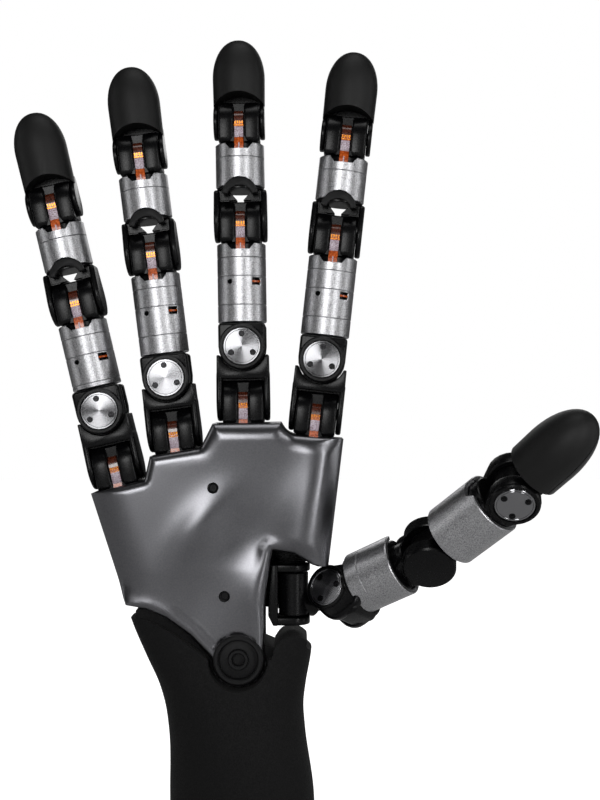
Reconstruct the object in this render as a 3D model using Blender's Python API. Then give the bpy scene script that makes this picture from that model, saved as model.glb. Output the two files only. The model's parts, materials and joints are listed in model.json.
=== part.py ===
"""A powered prosthetic right hand: four fingers, a thumb, a palm and a wrist cuff.

The palm faces -Y, the fingers point up +Z and the thumb stands out to +X.
The origin is the centre of the cuff's flat end face.
All sizes in this file are millimetres; MM turns them into Blender's metres.
"""

from math import cos, pi, sin

import bmesh
import bpy
from mathutils import Matrix, Vector

MM = 0.001

# Driving dimensions of the whole hand
PALM_HALF_DEPTH = 13.0
WALL = 2.2
GAP = 0.3
PIVOT_HEIGHT = 70.7
BOSS_RADIUS = 9.2
TONGUE_HALF_DEPTH = 9.8

# Driving dimensions of the fingers
TUBE_RADIUS = 8.25
TUBE_BORE = 6.9
CORE_RADIUS = 6.6
BLOCK_HALF_WIDTH = 6.7
BARREL_RADIUS = 7.0
ARM_INNER = BLOCK_HALF_WIDTH + GAP
ARM_OUTER = 8.9
PIN_RADIUS = 2.0
RUNNING_CLEARANCE = 0.15
TUBE_TO_AXIS = 7.6
AXIS_TO_TUBE = 11.5
DISC_TO_TUBE = 8.1
MIDDLE_TUBE_LENGTH = 14.5
CAP_RADIUS = 6.5
SHAFT_RADIUS = 2.5
TIP_HALF_WIDTH = 8.85
TIP_DOME = 13.0

# Driving dimensions of the thumb
THUMB_TUBE_RADIUS = 10.4
THUMB_TUBE_BORE = 9.0
THUMB_CORE_RADIUS = 8.7
THUMB_BARREL_RADIUS = 8.7
THUMB_TONGUE = 3.1
THUMB_AXIS = Vector((18.2, 0.0, 92.0))
THUMB_CARPAL = Vector((33.5, -1.0, 91.0))
THUMB_KNUCKLE_REACH = 36.5
THUMB_TIP_REACH = 38.1
THUMB_KNUCKLE_BEND = 14.0
THUMB_TIP_BEND = 4.5
THUMB_DOME = 17.5

# Each finger: knuckle axis x and z, lean and roll in degrees, height of the disc above the
# knuckle axis, length of the proximal tube, length of the tip beyond its axis
FINGERS = {
    "little": (-42.2, 134.6, -13.4, 0.0, 18.7, 22.4, 32.0),
    "ring": (-22.3, 146.4, -7.1, 0.0, 17.6, 27.0, 30.0),
    "middle": (1.3, 156.2, -0.9, 0.0, 18.2, 26.6, 28.2),
    "index": (26.0, 152.2, 6.2, -2.0, 17.9, 26.7, 29.0),
}


def arc(centre, radius, start, end, steps):
    """Points on a round stretch, from one angle to another in degrees."""
    angles = [(start + (end - start) * i / steps) * pi / 180 for i in range(steps + 1)]
    return [(centre[0] + radius * cos(a), centre[1] + radius * sin(a)) for a in angles]


# Outline of the palm, clockwise from the wrist boss (x, z)
PALM_OUTLINE = arc((0.0, PIVOT_HEIGHT), BOSS_RADIUS, 20, -180, 10) + [
    (-16.3, 78.5),
    (-24.1, 84.3),
    (-30.6, 87.2),
    (-37.4, 88.4),
    (-49.3, 125.2),
    (-31.2, 129.8),
    (-29.4, 137.7),
    (-12.6, 140.6),
    (-8.6, 148.6),
    (13.9, 148.9),
    (18.4, 144.9),
    (34.9, 143.4),
    (29.9, 101.3),
    (25.2, 101.6),
    (18.0, 105.4),
    (11.1, 106.6),
    (8.8, 88.4),
]

# The back cover's apron behind the thumb's cut-out (x, z)
APRON = [
    (4.0, 85.0),
    (13.0, 83.6),
    (21.5, 88.0),
    (21.5, 98.5),
    (25.0, 104.5),
    (27.6, 112.0),
    (4.0, 112.0),
]

# The thumb bracket's plate along the edge of the palm (x, z)
BRACKET_PLATE = [
    (9.7, 84.0),
    (9.7, 88.4),
    (10.9, 101.0),
    (12.9, 101.0),
    (12.9, 80.6),
    (11.4, 80.6),
]

# The room in the palm's narrow end for the cuff's tongue (x, z)
TONGUE_ROOM = [(-60, 50), (12, 50), (12, 91), (-33.6, 91), (-34.8, 87), (-60, 87)]

# The room that the cuff leaves for the palm's narrow end as it swings (x, z)
CUFF_POCKET = [
    (-46.0, 84.6),
    (-38.4, 84.3),
    (-31.9, 83.5),
    (-25.2, 81.1),
    (-16.9, 76.0),
    *arc((0.0, PIVOT_HEIGHT), BOSS_RADIUS + 0.9, 180, 360, 10),
    (11.9, 76.0),
    (11.9, 120.0),
    (-46.0, 120.0),
]

# What stands above the cuff's shoulders: nothing but the tongue between the palm's plates
ABOVE_SHOULDERS = [
    (-60.0, 83.2),
    (-34.2, 83.2),
    (-34.2, 86.4),
    (-20.0, 88.0),
    (8.0, 88.0),
    (8.0, 75.4),
    (11.8, 73.6),
    (14.2, 77.2),
    (18.4, 78.0),
    (22.6, 75.8),
    (26.0, 71.4),
    (60.0, 66.0),
    (60.0, 120.0),
    (-60.0, 120.0),
]

# Sections of the cuff from its end face up: z, centre x, half width, half depth, squareness
CUFF_SECTIONS = [
    (0.0, 0.7, 24.5, 21.0, 2.0),
    (24.0, 0.7, 24.4, 20.8, 2.0),
    (46.0, -1.0, 23.1, 19.4, 2.1),
    (53.7, -1.8, 23.4, 18.2, 2.2),
    (61.0, -2.4, 24.8, 16.8, 2.5),
    (70.7, -3.7, 27.8, 14.8, 3.0),
    (80.6, -5.4, 30.3, 13.5, 3.5),
    (90.0, -7.0, 32.0, 13.2, 3.5),
]


# ---------------------------------------------------------------- scene and materials


def clear_scene():
    for obj in list(bpy.data.objects):
        bpy.data.objects.remove(obj, do_unlink=True)


def new_collection(name):
    collection = bpy.data.collections.new(name)
    bpy.context.scene.collection.children.link(collection)
    return collection


def principled(name, colour, roughness, metallic):
    material = bpy.data.materials.new(name)
    material.use_nodes = True
    shader = material.node_tree.nodes["Principled BSDF"]
    shader.inputs["Base Color"].default_value = (*colour, 1.0)
    shader.inputs["Roughness"].default_value = roughness
    shader.inputs["Metallic"].default_value = metallic
    material.diffuse_color = (*colour, 1.0)
    return material


clear_scene()
HAND = new_collection("prosthetic_hand")
CUTTERS = new_collection("cutters")
BLACK = principled("black_anodised", (0.012, 0.012, 0.013), 0.32, 0.6)
SILVER = principled("brushed_aluminium", (0.62, 0.62, 0.63), 0.34, 1.0)
TURNED = principled("turned_aluminium", (0.78, 0.78, 0.79), 0.2, 1.0)
PALM_METAL = principled("satin_grey_metal", (0.16, 0.16, 0.17), 0.3, 1.0)
PAD = principled("soft_black_pad", (0.010, 0.010, 0.010), 0.65, 0.0)
CUFF = principled("matt_black_cuff", (0.008, 0.008, 0.008), 0.7, 0.0)


# ---------------------------------------------------------------- solids


def solid(bm, parent, matrix=None):
    """Make one mesh object of bm, whose lengths are millimetres, under the parent."""
    if matrix is not None:
        bmesh.ops.transform(bm, matrix=matrix, verts=bm.verts)
    bmesh.ops.scale(bm, vec=(MM, MM, MM), verts=bm.verts)
    bmesh.ops.recalc_face_normals(bm, faces=bm.faces)
    mesh = bpy.data.meshes.new("solid")
    bm.to_mesh(mesh)
    bm.free()
    obj = bpy.data.objects.new("solid", mesh)
    CUTTERS.objects.link(obj)
    obj.hide_render = True
    obj.display_type = "WIRE"
    obj.parent = parent
    return obj


def block(parent, low, high):
    """A box between two corners."""
    low, high = Vector(low), Vector(high)
    bm = bmesh.new()
    bmesh.ops.create_cube(bm, size=1.0)
    bmesh.ops.scale(bm, vec=high - low, verts=bm.verts)
    bmesh.ops.translate(bm, vec=(low + high) / 2, verts=bm.verts)
    return solid(bm, parent)


def drum(parent, radius, start, end, segments=12):
    """A cylinder between two points."""
    start, end = Vector(start), Vector(end)
    bm = bmesh.new()
    bmesh.ops.create_cone(
        bm,
        cap_ends=True,
        segments=segments,
        radius1=radius,
        radius2=radius,
        depth=(end - start).length,
    )
    turn = Vector((0, 0, 1)).rotation_difference(end - start).to_matrix().to_4x4()
    return solid(bm, parent, Matrix.Translation((start + end) / 2) @ turn)


def slab(parent, outline, near, far):
    """A flat outline in X and Z, extruded along Y from near to far."""
    curve = bpy.data.curves.new("outline", "CURVE")
    curve.dimensions = "2D"
    curve.fill_mode = "BOTH"
    curve.extrude = (far - near) / 2
    curve.render_resolution_u = 0
    spline = curve.splines.new("POLY")
    spline.points.add(len(outline) - 1)
    for point, (x, z) in zip(spline.points, outline):
        point.co = (x, z, 0.0, 1.0)
    spline.use_cyclic_u = True
    guide = bpy.data.objects.new("outline", curve)
    CUTTERS.objects.link(guide)
    bpy.context.view_layer.update()
    evaluated = guide.evaluated_get(bpy.context.evaluated_depsgraph_get())
    mesh = bpy.data.meshes.new_from_object(evaluated)
    bpy.data.objects.remove(guide, do_unlink=True)
    bm = bmesh.new()
    bm.from_mesh(mesh)
    bmesh.ops.remove_doubles(bm, verts=bm.verts, dist=0.01)
    stand = Matrix.Translation((0, (near + far) / 2, 0)) @ Matrix.Rotation(pi / 2, 4, "X")
    return solid(bm, parent, stand)


def stack(parent, rings):
    """A skin over rings of points that all have the same count, closed at both ends."""
    bm = bmesh.new()
    loops = [[bm.verts.new(point) for point in ring] for ring in rings]
    count = len(loops[0])
    for low, high in zip(loops, loops[1:]):
        for i in range(count):
            j = (i + 1) % count
            bm.faces.new((low[i], low[j], high[j], high[i]))
    bm.faces.new(reversed(loops[0]))
    bm.faces.new(loops[-1])
    return solid(bm, parent)


def superellipse(z, centre, width, depth, power, count=32):
    """A ring of points about Z, round at power 2 and squarer above it."""
    ring = []
    for i in range(count):
        c, s = cos(2 * pi * i / count), sin(2 * pi * i / count)
        x = centre + width * abs(c) ** (2 / power) * (1 if c > 0 else -1)
        y = depth * abs(s) ** (2 / power) * (1 if s > 0 else -1)
        ring.append((x, y, z))
    return ring


def turned(parent, profile, depth_ratio, segments=18):
    """A profile of (radius, z) turned about Z and flattened along Y, with a small flat top."""
    turns = [2 * pi * i / segments for i in range(segments)]
    rings = [[(r * cos(a), depth_ratio * r * sin(a), z) for a in turns] for r, z in profile]
    return stack(parent, rings)


def combine(target, operation, tools):
    """Add one exact Boolean to the target for each tool."""
    for tool in tools:
        step = target.modifiers.new(operation.lower(), "BOOLEAN")
        step.operation = operation
        step.solver = "EXACT"
        step.object = tool
    return target


def join(target, *tools):
    return combine(target, "UNION", tools)


def cut(target, *tools):
    return combine(target, "DIFFERENCE", tools)


def keep(target, *tools):
    return combine(target, "INTERSECT", tools)


def part(name, obj, material):
    """Turn a solid into a named part of the hand."""
    obj.name = name
    obj.data.name = name
    CUTTERS.objects.unlink(obj)
    HAND.objects.link(obj)
    obj.hide_render = False
    obj.display_type = "TEXTURED"
    obj.data.materials.append(material)
    obj.data.shade_smooth()
    obj.data.set_sharp_from_angle(angle=0.6)


def joint(name, parent, place=(0, 0, 0), axes=None):
    """An empty on a joint's axis, placed in its parent's frame."""
    empty = bpy.data.objects.new(name, None)
    HAND.objects.link(empty)
    empty.parent = parent
    turn = axes.to_4x4() if axes is not None else Matrix.Identity(4)
    empty.matrix_local = Matrix.Translation(Vector(place) * MM) @ turn
    return empty


# ---------------------------------------------------------------- pieces that repeat


def hinge_block(parent, bottom, stem):
    """A block with two barrels on the X axis, a cable slot between them and a pin bore."""
    body = drum(
        parent, BARREL_RADIUS, (-BLOCK_HALF_WIDTH, 0, 0), (BLOCK_HALF_WIDTH, 0, 0), 22
    )
    foot = block(
        parent,
        (-BLOCK_HALF_WIDTH + 0.02, -BARREL_RADIUS + 0.1, bottom),
        (BLOCK_HALF_WIDTH - 0.02, BARREL_RADIUS - 0.1, 0.2),
    )
    join(body, foot)
    if stem:
        join(body, drum(parent, CORE_RADIUS - 0.2, (0, 0, bottom - stem), (0, 0, bottom + 1), 16))
    slot = block(parent, (-1.7, -12.0, bottom - stem - 2.0), (1.7, -3.4, 12.0))
    bore = drum(parent, PIN_RADIUS + RUNNING_CLEARANCE, (-12, 0, 0), (12, 0, 0))
    return cut(body, slot, bore)


def arm_pair(parent, height, end_radius, half_width):
    """Two arms with round ends about the X axis, and the pin that joins them."""
    body = drum(parent, end_radius, (-ARM_OUTER, 0, 0), (ARM_OUTER, 0, 0), 20)
    join(
        body,
        block(
            parent,
            (-ARM_OUTER + 0.02, -half_width, 0.1),
            (ARM_OUTER - 0.02, half_width, height),
        ),
    )
    cut(body, block(parent, (-ARM_INNER, -12, -12), (ARM_INNER, 12, height + 2)))
    return join(body, drum(parent, PIN_RADIUS, (-ARM_OUTER + 0.2, 0, 0), (ARM_OUTER - 0.2, 0, 0)))


def sleeve(parent, outer, bore, low, high):
    """A tube about Z."""
    body = drum(parent, outer, (0, 0, low), (0, 0, high), 24)
    return cut(body, drum(parent, bore, (0, 0, low - 2), (0, 0, high + 2), 24))


def hinge_cap(parent, radius, near, thickness, far, axis):
    """A turned disc with its shaft, lying on an axis through the parent's origin."""
    axis = Vector(axis)
    disc = drum(parent, radius, axis * (near - thickness), axis * near, 22)
    return join(disc, drum(parent, SHAFT_RADIUS, axis * far, axis * (near - 0.3)))


def tip_profile(width, low, top, dome):
    """The turned outline of a fingertip: a barrel that closes in an oval dome."""
    shoulder = top - dome
    steps = 5
    points = [(width * 0.97, low), (width, low + 0.25 * (top - low))]
    for i in range(steps):
        angle = 0.48 * pi * i / (steps - 1)
        points.append((width * cos(angle), shoulder + (top - shoulder) * sin(angle)))
    return points


# ---------------------------------------------------------------- fingers


def knuckle_base(mount, finger):
    body = hinge_block(mount, -6.2, 6.0)
    part(f"{finger}_knuckle_base", body, BLACK)


def knuckle_link(hinge, finger, disc_height):
    """Arms about the base, and a tongue for the sideways hinge above them."""
    body = arm_pair(hinge, 8.6, 6.4, 5.0)
    bridge = block(
        hinge, (-ARM_OUTER + 0.1, -5.4, 7.4), (ARM_OUTER - 0.1, 5.4, disc_height - 8.0)
    )
    neck = block(hinge, (-5.6, -2.8, 8.8), (5.6, 2.8, disc_height))
    eye = drum(hinge, 6.3, (0, -2.81, disc_height), (0, 2.81, disc_height), 20)
    join(body, bridge, neck, eye)
    bore = drum(
        hinge, SHAFT_RADIUS + RUNNING_CLEARANCE, (0, -9, disc_height), (0, 9, disc_height)
    )
    part(f"{finger}_knuckle_link", cut(body, bore), BLACK)


def proximal_yoke(swing, finger, tube_top):
    """Two round cheeks about the tongue, and the core that runs up inside the tube."""
    body = drum(swing, 7.5, (0, -8.4, 0), (0, 8.4, 0), 22)
    rise = block(swing, (-6.9, -8.38, 0.1), (6.9, 8.38, DISC_TO_TUBE - GAP))
    join(body, rise)
    cut(body, block(swing, (-12, -3.1, -12), (12, 3.1, 6.7)))
    join(body, drum(swing, CORE_RADIUS, (0, 0, 7.2), (0, 0, tube_top), 16))
    recess = drum(swing, CAP_RADIUS + 0.25, (0, -12, 0), (0, -7.3, 0), 22)
    bore = drum(swing, SHAFT_RADIUS + RUNNING_CLEARANCE, (0, -12, 0), (0, 6.5, 0))
    part(f"{finger}_proximal_yoke", cut(body, recess, bore), BLACK)


def knuckle_cap(swing, finger):
    cap = hinge_cap(swing, CAP_RADIUS, 8.7, 1.1, -6.2, (0, -1, 0))
    part(f"{finger}_knuckle_cap", cap, TURNED)


def proximal_tube(swing, finger, tube_top):
    """The tube with its cable slot, its window and its set screw hole."""
    body = sleeve(swing, TUBE_RADIUS, TUBE_BORE, DISC_TO_TUBE, tube_top)
    slot = block(swing, (-4.3, -12, tube_top - 2.5), (4.3, -4.0, tube_top + 2))
    window = block(swing, (3.8, -12, 20.4), (7.2, -3.0, 23.0))
    screw_hole = drum(swing, 0.9, (-3.7, -12, 21.7), (-3.7, -4, 21.7), 12)
    part(f"{finger}_proximal_tube", cut(body, slot, window, screw_hole), SILVER)


def joint_block(parent, name, tube_top):
    """The hinge block that closes the top of a tube."""
    place = joint(f"{name}_place", parent, (0, 0, tube_top + TUBE_TO_AXIS))
    part(name, hinge_block(place, -TUBE_TO_AXIS + GAP, 0.0), BLACK)


def middle_fork(hinge, finger, tube_top):
    """Arms about the block, a bridge over it and the core of the middle tube."""
    body = arm_pair(hinge, AXIS_TO_TUBE - 0.6, 6.4, 4.6)
    bridge = drum(hinge, 8.1, (0, 0, 9.7), (0, 0, AXIS_TO_TUBE - GAP), 20)
    core = drum(hinge, CORE_RADIUS, (0, 0, 10.5), (0, 0, tube_top), 16)
    join(body, bridge, core)
    relief = block(hinge, (-5.6, -12, 9.0), (5.6, -5.4, AXIS_TO_TUBE + 5.5))
    part(f"{finger}_middle_fork", cut(body, relief), BLACK)


def middle_tube(hinge, finger, tube_top):
    """The short tube, with an arch cut into the palm side of its lower rim."""
    body = sleeve(hinge, TUBE_RADIUS, TUBE_BORE, AXIS_TO_TUBE, tube_top)
    arch = drum(hinge, 5.85, (0, -12, AXIS_TO_TUBE - 0.4), (0, -3, AXIS_TO_TUBE - 0.4), 20)
    slot = block(hinge, (-4.3, -12, tube_top - 2.5), (4.3, -4.0, tube_top + 2))
    part(f"{finger}_middle_tube", cut(body, arch, slot), SILVER)


def tip_pad(hinge, finger, tip):
    """The soft half of a fingertip, with an arched lower edge."""
    body = turned(hinge, tip_profile(TIP_HALF_WIDTH, 1.0, tip, TIP_DOME), 0.84)
    keep(body, block(hinge, (-12, -14, 0), (12, 1.6, tip + 2)))
    arch = drum(hinge, 12.0, (0, -16, -2.5), (0, 6, -2.5), 32)
    part(f"{finger}_tip_pad", cut(body, arch), PAD)


def tip_shell(hinge, finger, tip):
    """The nail side of a fingertip, with the two arms that carry it."""
    body = turned(hinge, tip_profile(TIP_HALF_WIDTH, 1.0, tip, TIP_DOME), 0.84)
    keep(body, block(hinge, (-12, 1.9, 2.4), (12, 14, tip + 2)))
    cut(body, drum(hinge, BARREL_RADIUS + 0.4, (-ARM_INNER, 0, 0), (ARM_INNER, 0, 0), 20))
    for side in (-1, 1):
        near, far = sorted((side * ARM_INNER, side * (ARM_OUTER - 0.3)))
        rise = block(hinge, (near + 0.01, 1.9, 0.1), (far - 0.01, 5.2, 8.5))
        join(body, drum(hinge, 5.5, (near, 0, 0), (far, 0, 0), 16), rise)
    pin = drum(hinge, PIN_RADIUS, (-ARM_OUTER + 0.6, 0, 0), (ARM_OUTER - 0.6, 0, 0))
    part(f"{finger}_tip_shell", join(body, pin), BLACK)


def build_finger(palm, finger):
    x, z, lean, roll, disc_height, tube_length, tip = FINGERS[finger]
    axes = Matrix.Rotation(lean * pi / 180, 3, "Y") @ Matrix.Rotation(roll * pi / 180, 3, "Z")
    mount = joint(f"{finger}_mount", palm, (x, 0, z - PIVOT_HEIGHT), axes)
    knuckle = joint(f"{finger}_knuckle_axis", mount)
    swing = joint(f"{finger}_swing_axis", knuckle, (0, 0, disc_height))
    tube_top = DISC_TO_TUBE + tube_length
    middle = joint(f"{finger}_middle_axis", swing, (0, 0, tube_top + TUBE_TO_AXIS))
    middle_top = AXIS_TO_TUBE + MIDDLE_TUBE_LENGTH
    end = joint(f"{finger}_end_axis", middle, (0, 0, middle_top + TUBE_TO_AXIS))
    knuckle_base(mount, finger)
    knuckle_link(knuckle, finger, disc_height)
    proximal_yoke(swing, finger, tube_top)
    knuckle_cap(swing, finger)
    proximal_tube(swing, finger, tube_top)
    joint_block(swing, f"{finger}_middle_block", tube_top)
    middle_fork(middle, finger, middle_top)
    middle_tube(middle, finger, middle_top)
    joint_block(middle, f"{finger}_end_block", middle_top)
    tip_pad(end, finger, tip)
    tip_shell(end, finger, tip)
    return mount


# ---------------------------------------------------------------- thumb


def axes_from(x_axis, z_axis):
    """A rotation whose Z is z_axis and whose X is as near as can be to x_axis."""
    z = Vector(z_axis).normalized()
    x = Vector(x_axis)
    x = (x - z * x.dot(z)).normalized()
    y = z.cross(x)
    return Matrix((x, y, z)).transposed()


def thumb_bracket(palm):
    """A bracket on the palm's edge with two lugs for the upright thumb pivot."""
    x, y, z = THUMB_AXIS - Vector((0, 0, PIVOT_HEIGHT))
    body = slab(palm, lowered(BRACKET_PLATE), -6, 6)
    for low, high in ((z - 11.4, z - 8.8), (z + 6.6, z + 9.0)):
        lug = drum(palm, 5.6, (x, y, low), (x, y, high), 20)
        web = block(palm, (12.0, -5.4, low + 0.02), (x, 5.4, high - 0.02))
        join(body, lug, web)
    bore = drum(palm, PIN_RADIUS + RUNNING_CLEARANCE, (x, y, z - 20), (x, y, z + 20))
    part("thumb_bracket", cut(body, bore), BLACK)


def thumb_base(upright, turn):
    """The upright barrel with its pin, and the tongue of the tilted hinge."""
    body = drum(upright, 5.0, (0, 0, -8.4), (0, 0, 6.2), 20)
    join(body, drum(upright, PIN_RADIUS, (0, 0, -11.2), (0, 0, 8.8)))
    hinge_place = Vector(THUMB_CARPAL - THUMB_AXIS)
    across = turn @ Vector((1, 0, 0))
    behind = hinge_place - turn @ Vector((0, 0, 10.5))
    arm = drum(upright, 2.9, hinge_place, behind)
    web = drum(upright, 3.2, (1.0, 0, -3.0), behind + Vector((0.6, 0.2, 0.6)))
    eye = drum(
        upright,
        6.4,
        hinge_place - across * THUMB_TONGUE,
        hinge_place + across * THUMB_TONGUE,
        20,
    )
    join(body, arm, web, eye)
    bore = drum(
        upright,
        SHAFT_RADIUS + RUNNING_CLEARANCE,
        hinge_place - across * 12,
        hinge_place + across * 12,
    )
    part("thumb_base", cut(body, bore), BLACK)


def thumb_elbow(carpal):
    """Two cheeks about the base's tongue, and the core of the metacarpal tube."""
    body = drum(carpal, 7.6, (-7.6, 0, 0), (7.6, 0, 0), 22)
    rise = block(carpal, (-7.58, -6.4, 0.1), (7.58, 7.4, 8.4))
    heel = block(carpal, (-7.5, 6.9, -4.0), (7.5, 10.4, 8.2))
    join(body, rise, heel)
    slot_edge = THUMB_TONGUE + GAP
    cut(body, block(carpal, (-slot_edge, -12, -12), (slot_edge, 6.85, 7.2)))
    join(body, drum(carpal, THUMB_CORE_RADIUS, (0, 0, 7.8), (0, 0, 25.6), 20))
    recess = drum(carpal, 6.95, (6.6, 0, 0), (12, 0, 0), 22)
    bore = drum(carpal, SHAFT_RADIUS + RUNNING_CLEARANCE, (-6.0, 0, 0), (12, 0, 0))
    part("thumb_elbow", cut(body, recess, bore), BLACK)


def thumb_base_cap(carpal):
    part("thumb_base_cap", hinge_cap(carpal, 6.7, 8.0, 1.1, -5.7, (1, 0, 0)), TURNED)


def thumb_metacarpal_tube(carpal):
    body = sleeve(carpal, THUMB_TUBE_RADIUS, THUMB_TUBE_BORE, 9.0, 25.9)
    notch = block(carpal, (-4.6, -14, 22.0), (4.6, -5, 28.0))
    part("thumb_metacarpal_tube", cut(body, notch), SILVER)


def thumb_knuckle_housing(place):
    """The round housing of the thumb's knuckle: two drums with a slot and a pin between them."""
    body = drum(place, THUMB_BARREL_RADIUS, (-8.3, 0, 0), (8.3, 0, 0), 24)
    neck = drum(place, 6.6, (0, 0, -10.2), (0, 0, -2.0), 16)
    join(body, neck)
    slot = block(place, (-THUMB_TONGUE - GAP, -12, -7.0), (THUMB_TONGUE + GAP, 12, 12))
    cut(body, slot)
    join(body, drum(place, PIN_RADIUS, (-5, 0, 0), (5, 0, 0)))
    part("thumb_knuckle_housing", body, BLACK)


def thumb_proximal_link(knuckle):
    """The tongue in the knuckle, the core of the tube and the clevis of the end hinge."""
    reach = THUMB_TIP_REACH
    core = drum(knuckle, THUMB_CORE_RADIUS, (0, 0, 9.4), (0, 0, reach - 6.9), 20)
    body = drum(knuckle, 8.2, (-8.2, 0, reach), (8.2, 0, reach), 22)
    rise = block(knuckle, (-8.18, -5.6, reach - 8.4), (8.18, 5.6, reach - 0.1))
    join(body, rise)
    slot_edge = THUMB_TONGUE + GAP
    cut(body, block(knuckle, (-slot_edge, -12, reach - 6.8), (slot_edge, 12, reach + 12)))
    eye = drum(knuckle, 6.4, (-THUMB_TONGUE, 0, 0), (THUMB_TONGUE, 0, 0), 20)
    neck = block(knuckle, (-THUMB_TONGUE + 0.02, -5.0, 0.2), (THUMB_TONGUE - 0.02, 5.0, 10.5))
    join(body, core, neck, eye)
    recess = drum(knuckle, 6.85, (7.2, 0, reach), (12, 0, reach), 22)
    bore = drum(knuckle, SHAFT_RADIUS + RUNNING_CLEARANCE, (-6.2, 0, reach), (12, 0, reach))
    pin_bore = drum(knuckle, PIN_RADIUS + RUNNING_CLEARANCE, (-12, 0, 0), (12, 0, 0))
    part("thumb_proximal_link", cut(body, recess, bore, pin_bore), BLACK)


def thumb_proximal_tube(knuckle):
    body = sleeve(knuckle, THUMB_TUBE_RADIUS, THUMB_TUBE_BORE, 9.9, THUMB_TIP_REACH - 8.6)
    slot = block(knuckle, (-3.4, -14, 26.4), (3.4, -5, 32.0))
    part("thumb_proximal_tube", cut(body, slot), SILVER)


def thumb_tip_cap(end):
    part("thumb_tip_cap", hinge_cap(end, 6.6, 8.6, 1.1, -5.9, (1, 0, 0)), TURNED)


def thumb_tip_pad(end):
    body = turned(end, tip_profile(9.9, 2.0, 37.0, THUMB_DOME), 0.94)
    keep(body, block(end, (-14, -16, 9.4), (14, 4.4, 40)))
    part("thumb_tip_pad", body, PAD)


def thumb_tip_shell(end):
    """The nail side of the thumb, with the tongue that hinges it."""
    body = turned(end, tip_profile(9.9, 2.0, 37.0, THUMB_DOME), 0.94)
    keep(body, block(end, (-14, 4.7, 9.4), (14, 16, 40)))
    tongue = drum(end, 6.4, (-THUMB_TONGUE, 0, 0), (THUMB_TONGUE, 0, 0), 20)
    neck = block(end, (-THUMB_TONGUE + 0.02, 0.4, 0.2), (THUMB_TONGUE - 0.02, 5.9, 8.9))
    heel = block(end, (-THUMB_TONGUE + 0.03, 4.8, 6.0), (THUMB_TONGUE - 0.03, 8.2, 12.0))
    join(body, tongue, neck, heel)
    bore = drum(end, SHAFT_RADIUS + RUNNING_CLEARANCE, (-12, 0, 0), (12, 0, 0))
    part("thumb_tip_shell", cut(body, bore), BLACK)


def build_thumb(palm):
    """The thumb's joints follow one another from the palm outwards."""
    upright = joint("thumb_upright_axis", palm, THUMB_AXIS - Vector((0, 0, PIVOT_HEIGHT)))
    along = Vector((0.80, -0.41, 0.43))
    first = axes_from((-0.70, -0.65, 0.30), along)
    carpal = joint("thumb_base_axis", upright, THUMB_CARPAL - THUMB_AXIS, first)
    housing_axes = axes_from((-0.05, -0.83, -0.56), along)
    housing_turn = first.transposed() @ housing_axes
    reach = (0, 0, THUMB_KNUCKLE_REACH)
    housing_place = joint("thumb_housing_place", carpal, reach, housing_turn)
    knuckle_turn = housing_turn @ Matrix.Rotation(THUMB_KNUCKLE_BEND * pi / 180, 3, "X")
    knuckle = joint("thumb_knuckle_axis", carpal, reach, knuckle_turn)
    end_turn = Matrix.Rotation(THUMB_TIP_BEND * pi / 180, 3, "X")
    end = joint("thumb_end_axis", knuckle, (0, 0, THUMB_TIP_REACH), end_turn)
    thumb_bracket(palm)
    thumb_base(upright, first)
    thumb_elbow(carpal)
    thumb_base_cap(carpal)
    thumb_metacarpal_tube(carpal)
    thumb_knuckle_housing(housing_place)
    thumb_proximal_link(knuckle)
    thumb_proximal_tube(knuckle)
    thumb_tip_cap(end)
    thumb_tip_pad(end)
    thumb_tip_shell(end)


# ---------------------------------------------------------------- palm and wrist


def lowered(outline):
    """An outline moved from the hand's frame into the palm's, whose origin is the pivot."""
    return [(x, z - PIVOT_HEIGHT) for x, z in outline]


def inset(outline, distance):
    """The outline drawn in by a distance along the normals of its sides."""
    count = len(outline)
    result = []
    for i, here in enumerate(outline):
        here = Vector(here)
        before = (here - Vector(outline[i - 1])).normalized()
        after = (Vector(outline[(i + 1) % count]) - here).normalized()
        bisector = (before.orthogonal() + after.orthogonal()).normalized()
        stretch = max(bisector.dot(before.orthogonal()), 0.5)
        result.append(tuple(here - bisector * distance / stretch))
    return result


def stem_clearances(palm, mounts):
    """Room in the palm's top wall for the foot of each knuckle base."""
    return [drum(mount, CORE_RADIUS + 0.2, (0, 0, -16), (0, 0, -2)) for mount in mounts]


def palm_shell(palm, mounts, side):
    """Half of the palm's shell, hollow from the inside: side -1 is the palm, +1 the back."""
    outline = lowered(PALM_OUTLINE)
    rounding = ((0.2, 0.0), (9.4, 0.0), (11.4, 0.7), (12.5, 1.9), (PALM_HALF_DEPTH, 3.6))
    body = stack(
        palm, [[(x, side * y, z) for x, z in inset(outline, draw)] for y, draw in rounding]
    )
    hollow = sorted((side * (PALM_HALF_DEPTH - WALL), -side * 4))
    room = sorted((side * (TONGUE_HALF_DEPTH + GAP), -side * 4))
    cavity = slab(palm, inset(outline, WALL), *hollow)
    tongue_room = slab(palm, lowered(TONGUE_ROOM), *room)
    bore = drum(palm, 4.2, (0, -20, 0), (0, 20, 0), 24)
    return cut(body, cavity, tongue_room, bore, *stem_clearances(palm, mounts))


def back_cover(palm, mounts):
    """The back half of the shell, with an apron behind the thumb's cut-out."""
    body = palm_shell(palm, mounts, 1)
    apron = slab(palm, lowered(APRON), PALM_HALF_DEPTH - WALL + 0.1, PALM_HALF_DEPTH - 0.4)
    part("palm_back_cover", join(body, apron), BLACK)


def palm_frame(palm, mounts):
    """The inner frame that the shells, the knuckle bases and the thumb bracket bolt to."""
    reach = PALM_HALF_DEPTH - WALL - GAP
    body = slab(palm, inset(lowered(PALM_OUTLINE), WALL + GAP), -reach, reach)
    tongue_room = slab(palm, lowered(TONGUE_ROOM), -20, 20)
    part("palm_frame", cut(body, tongue_room, *stem_clearances(palm, mounts)), BLACK)


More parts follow.
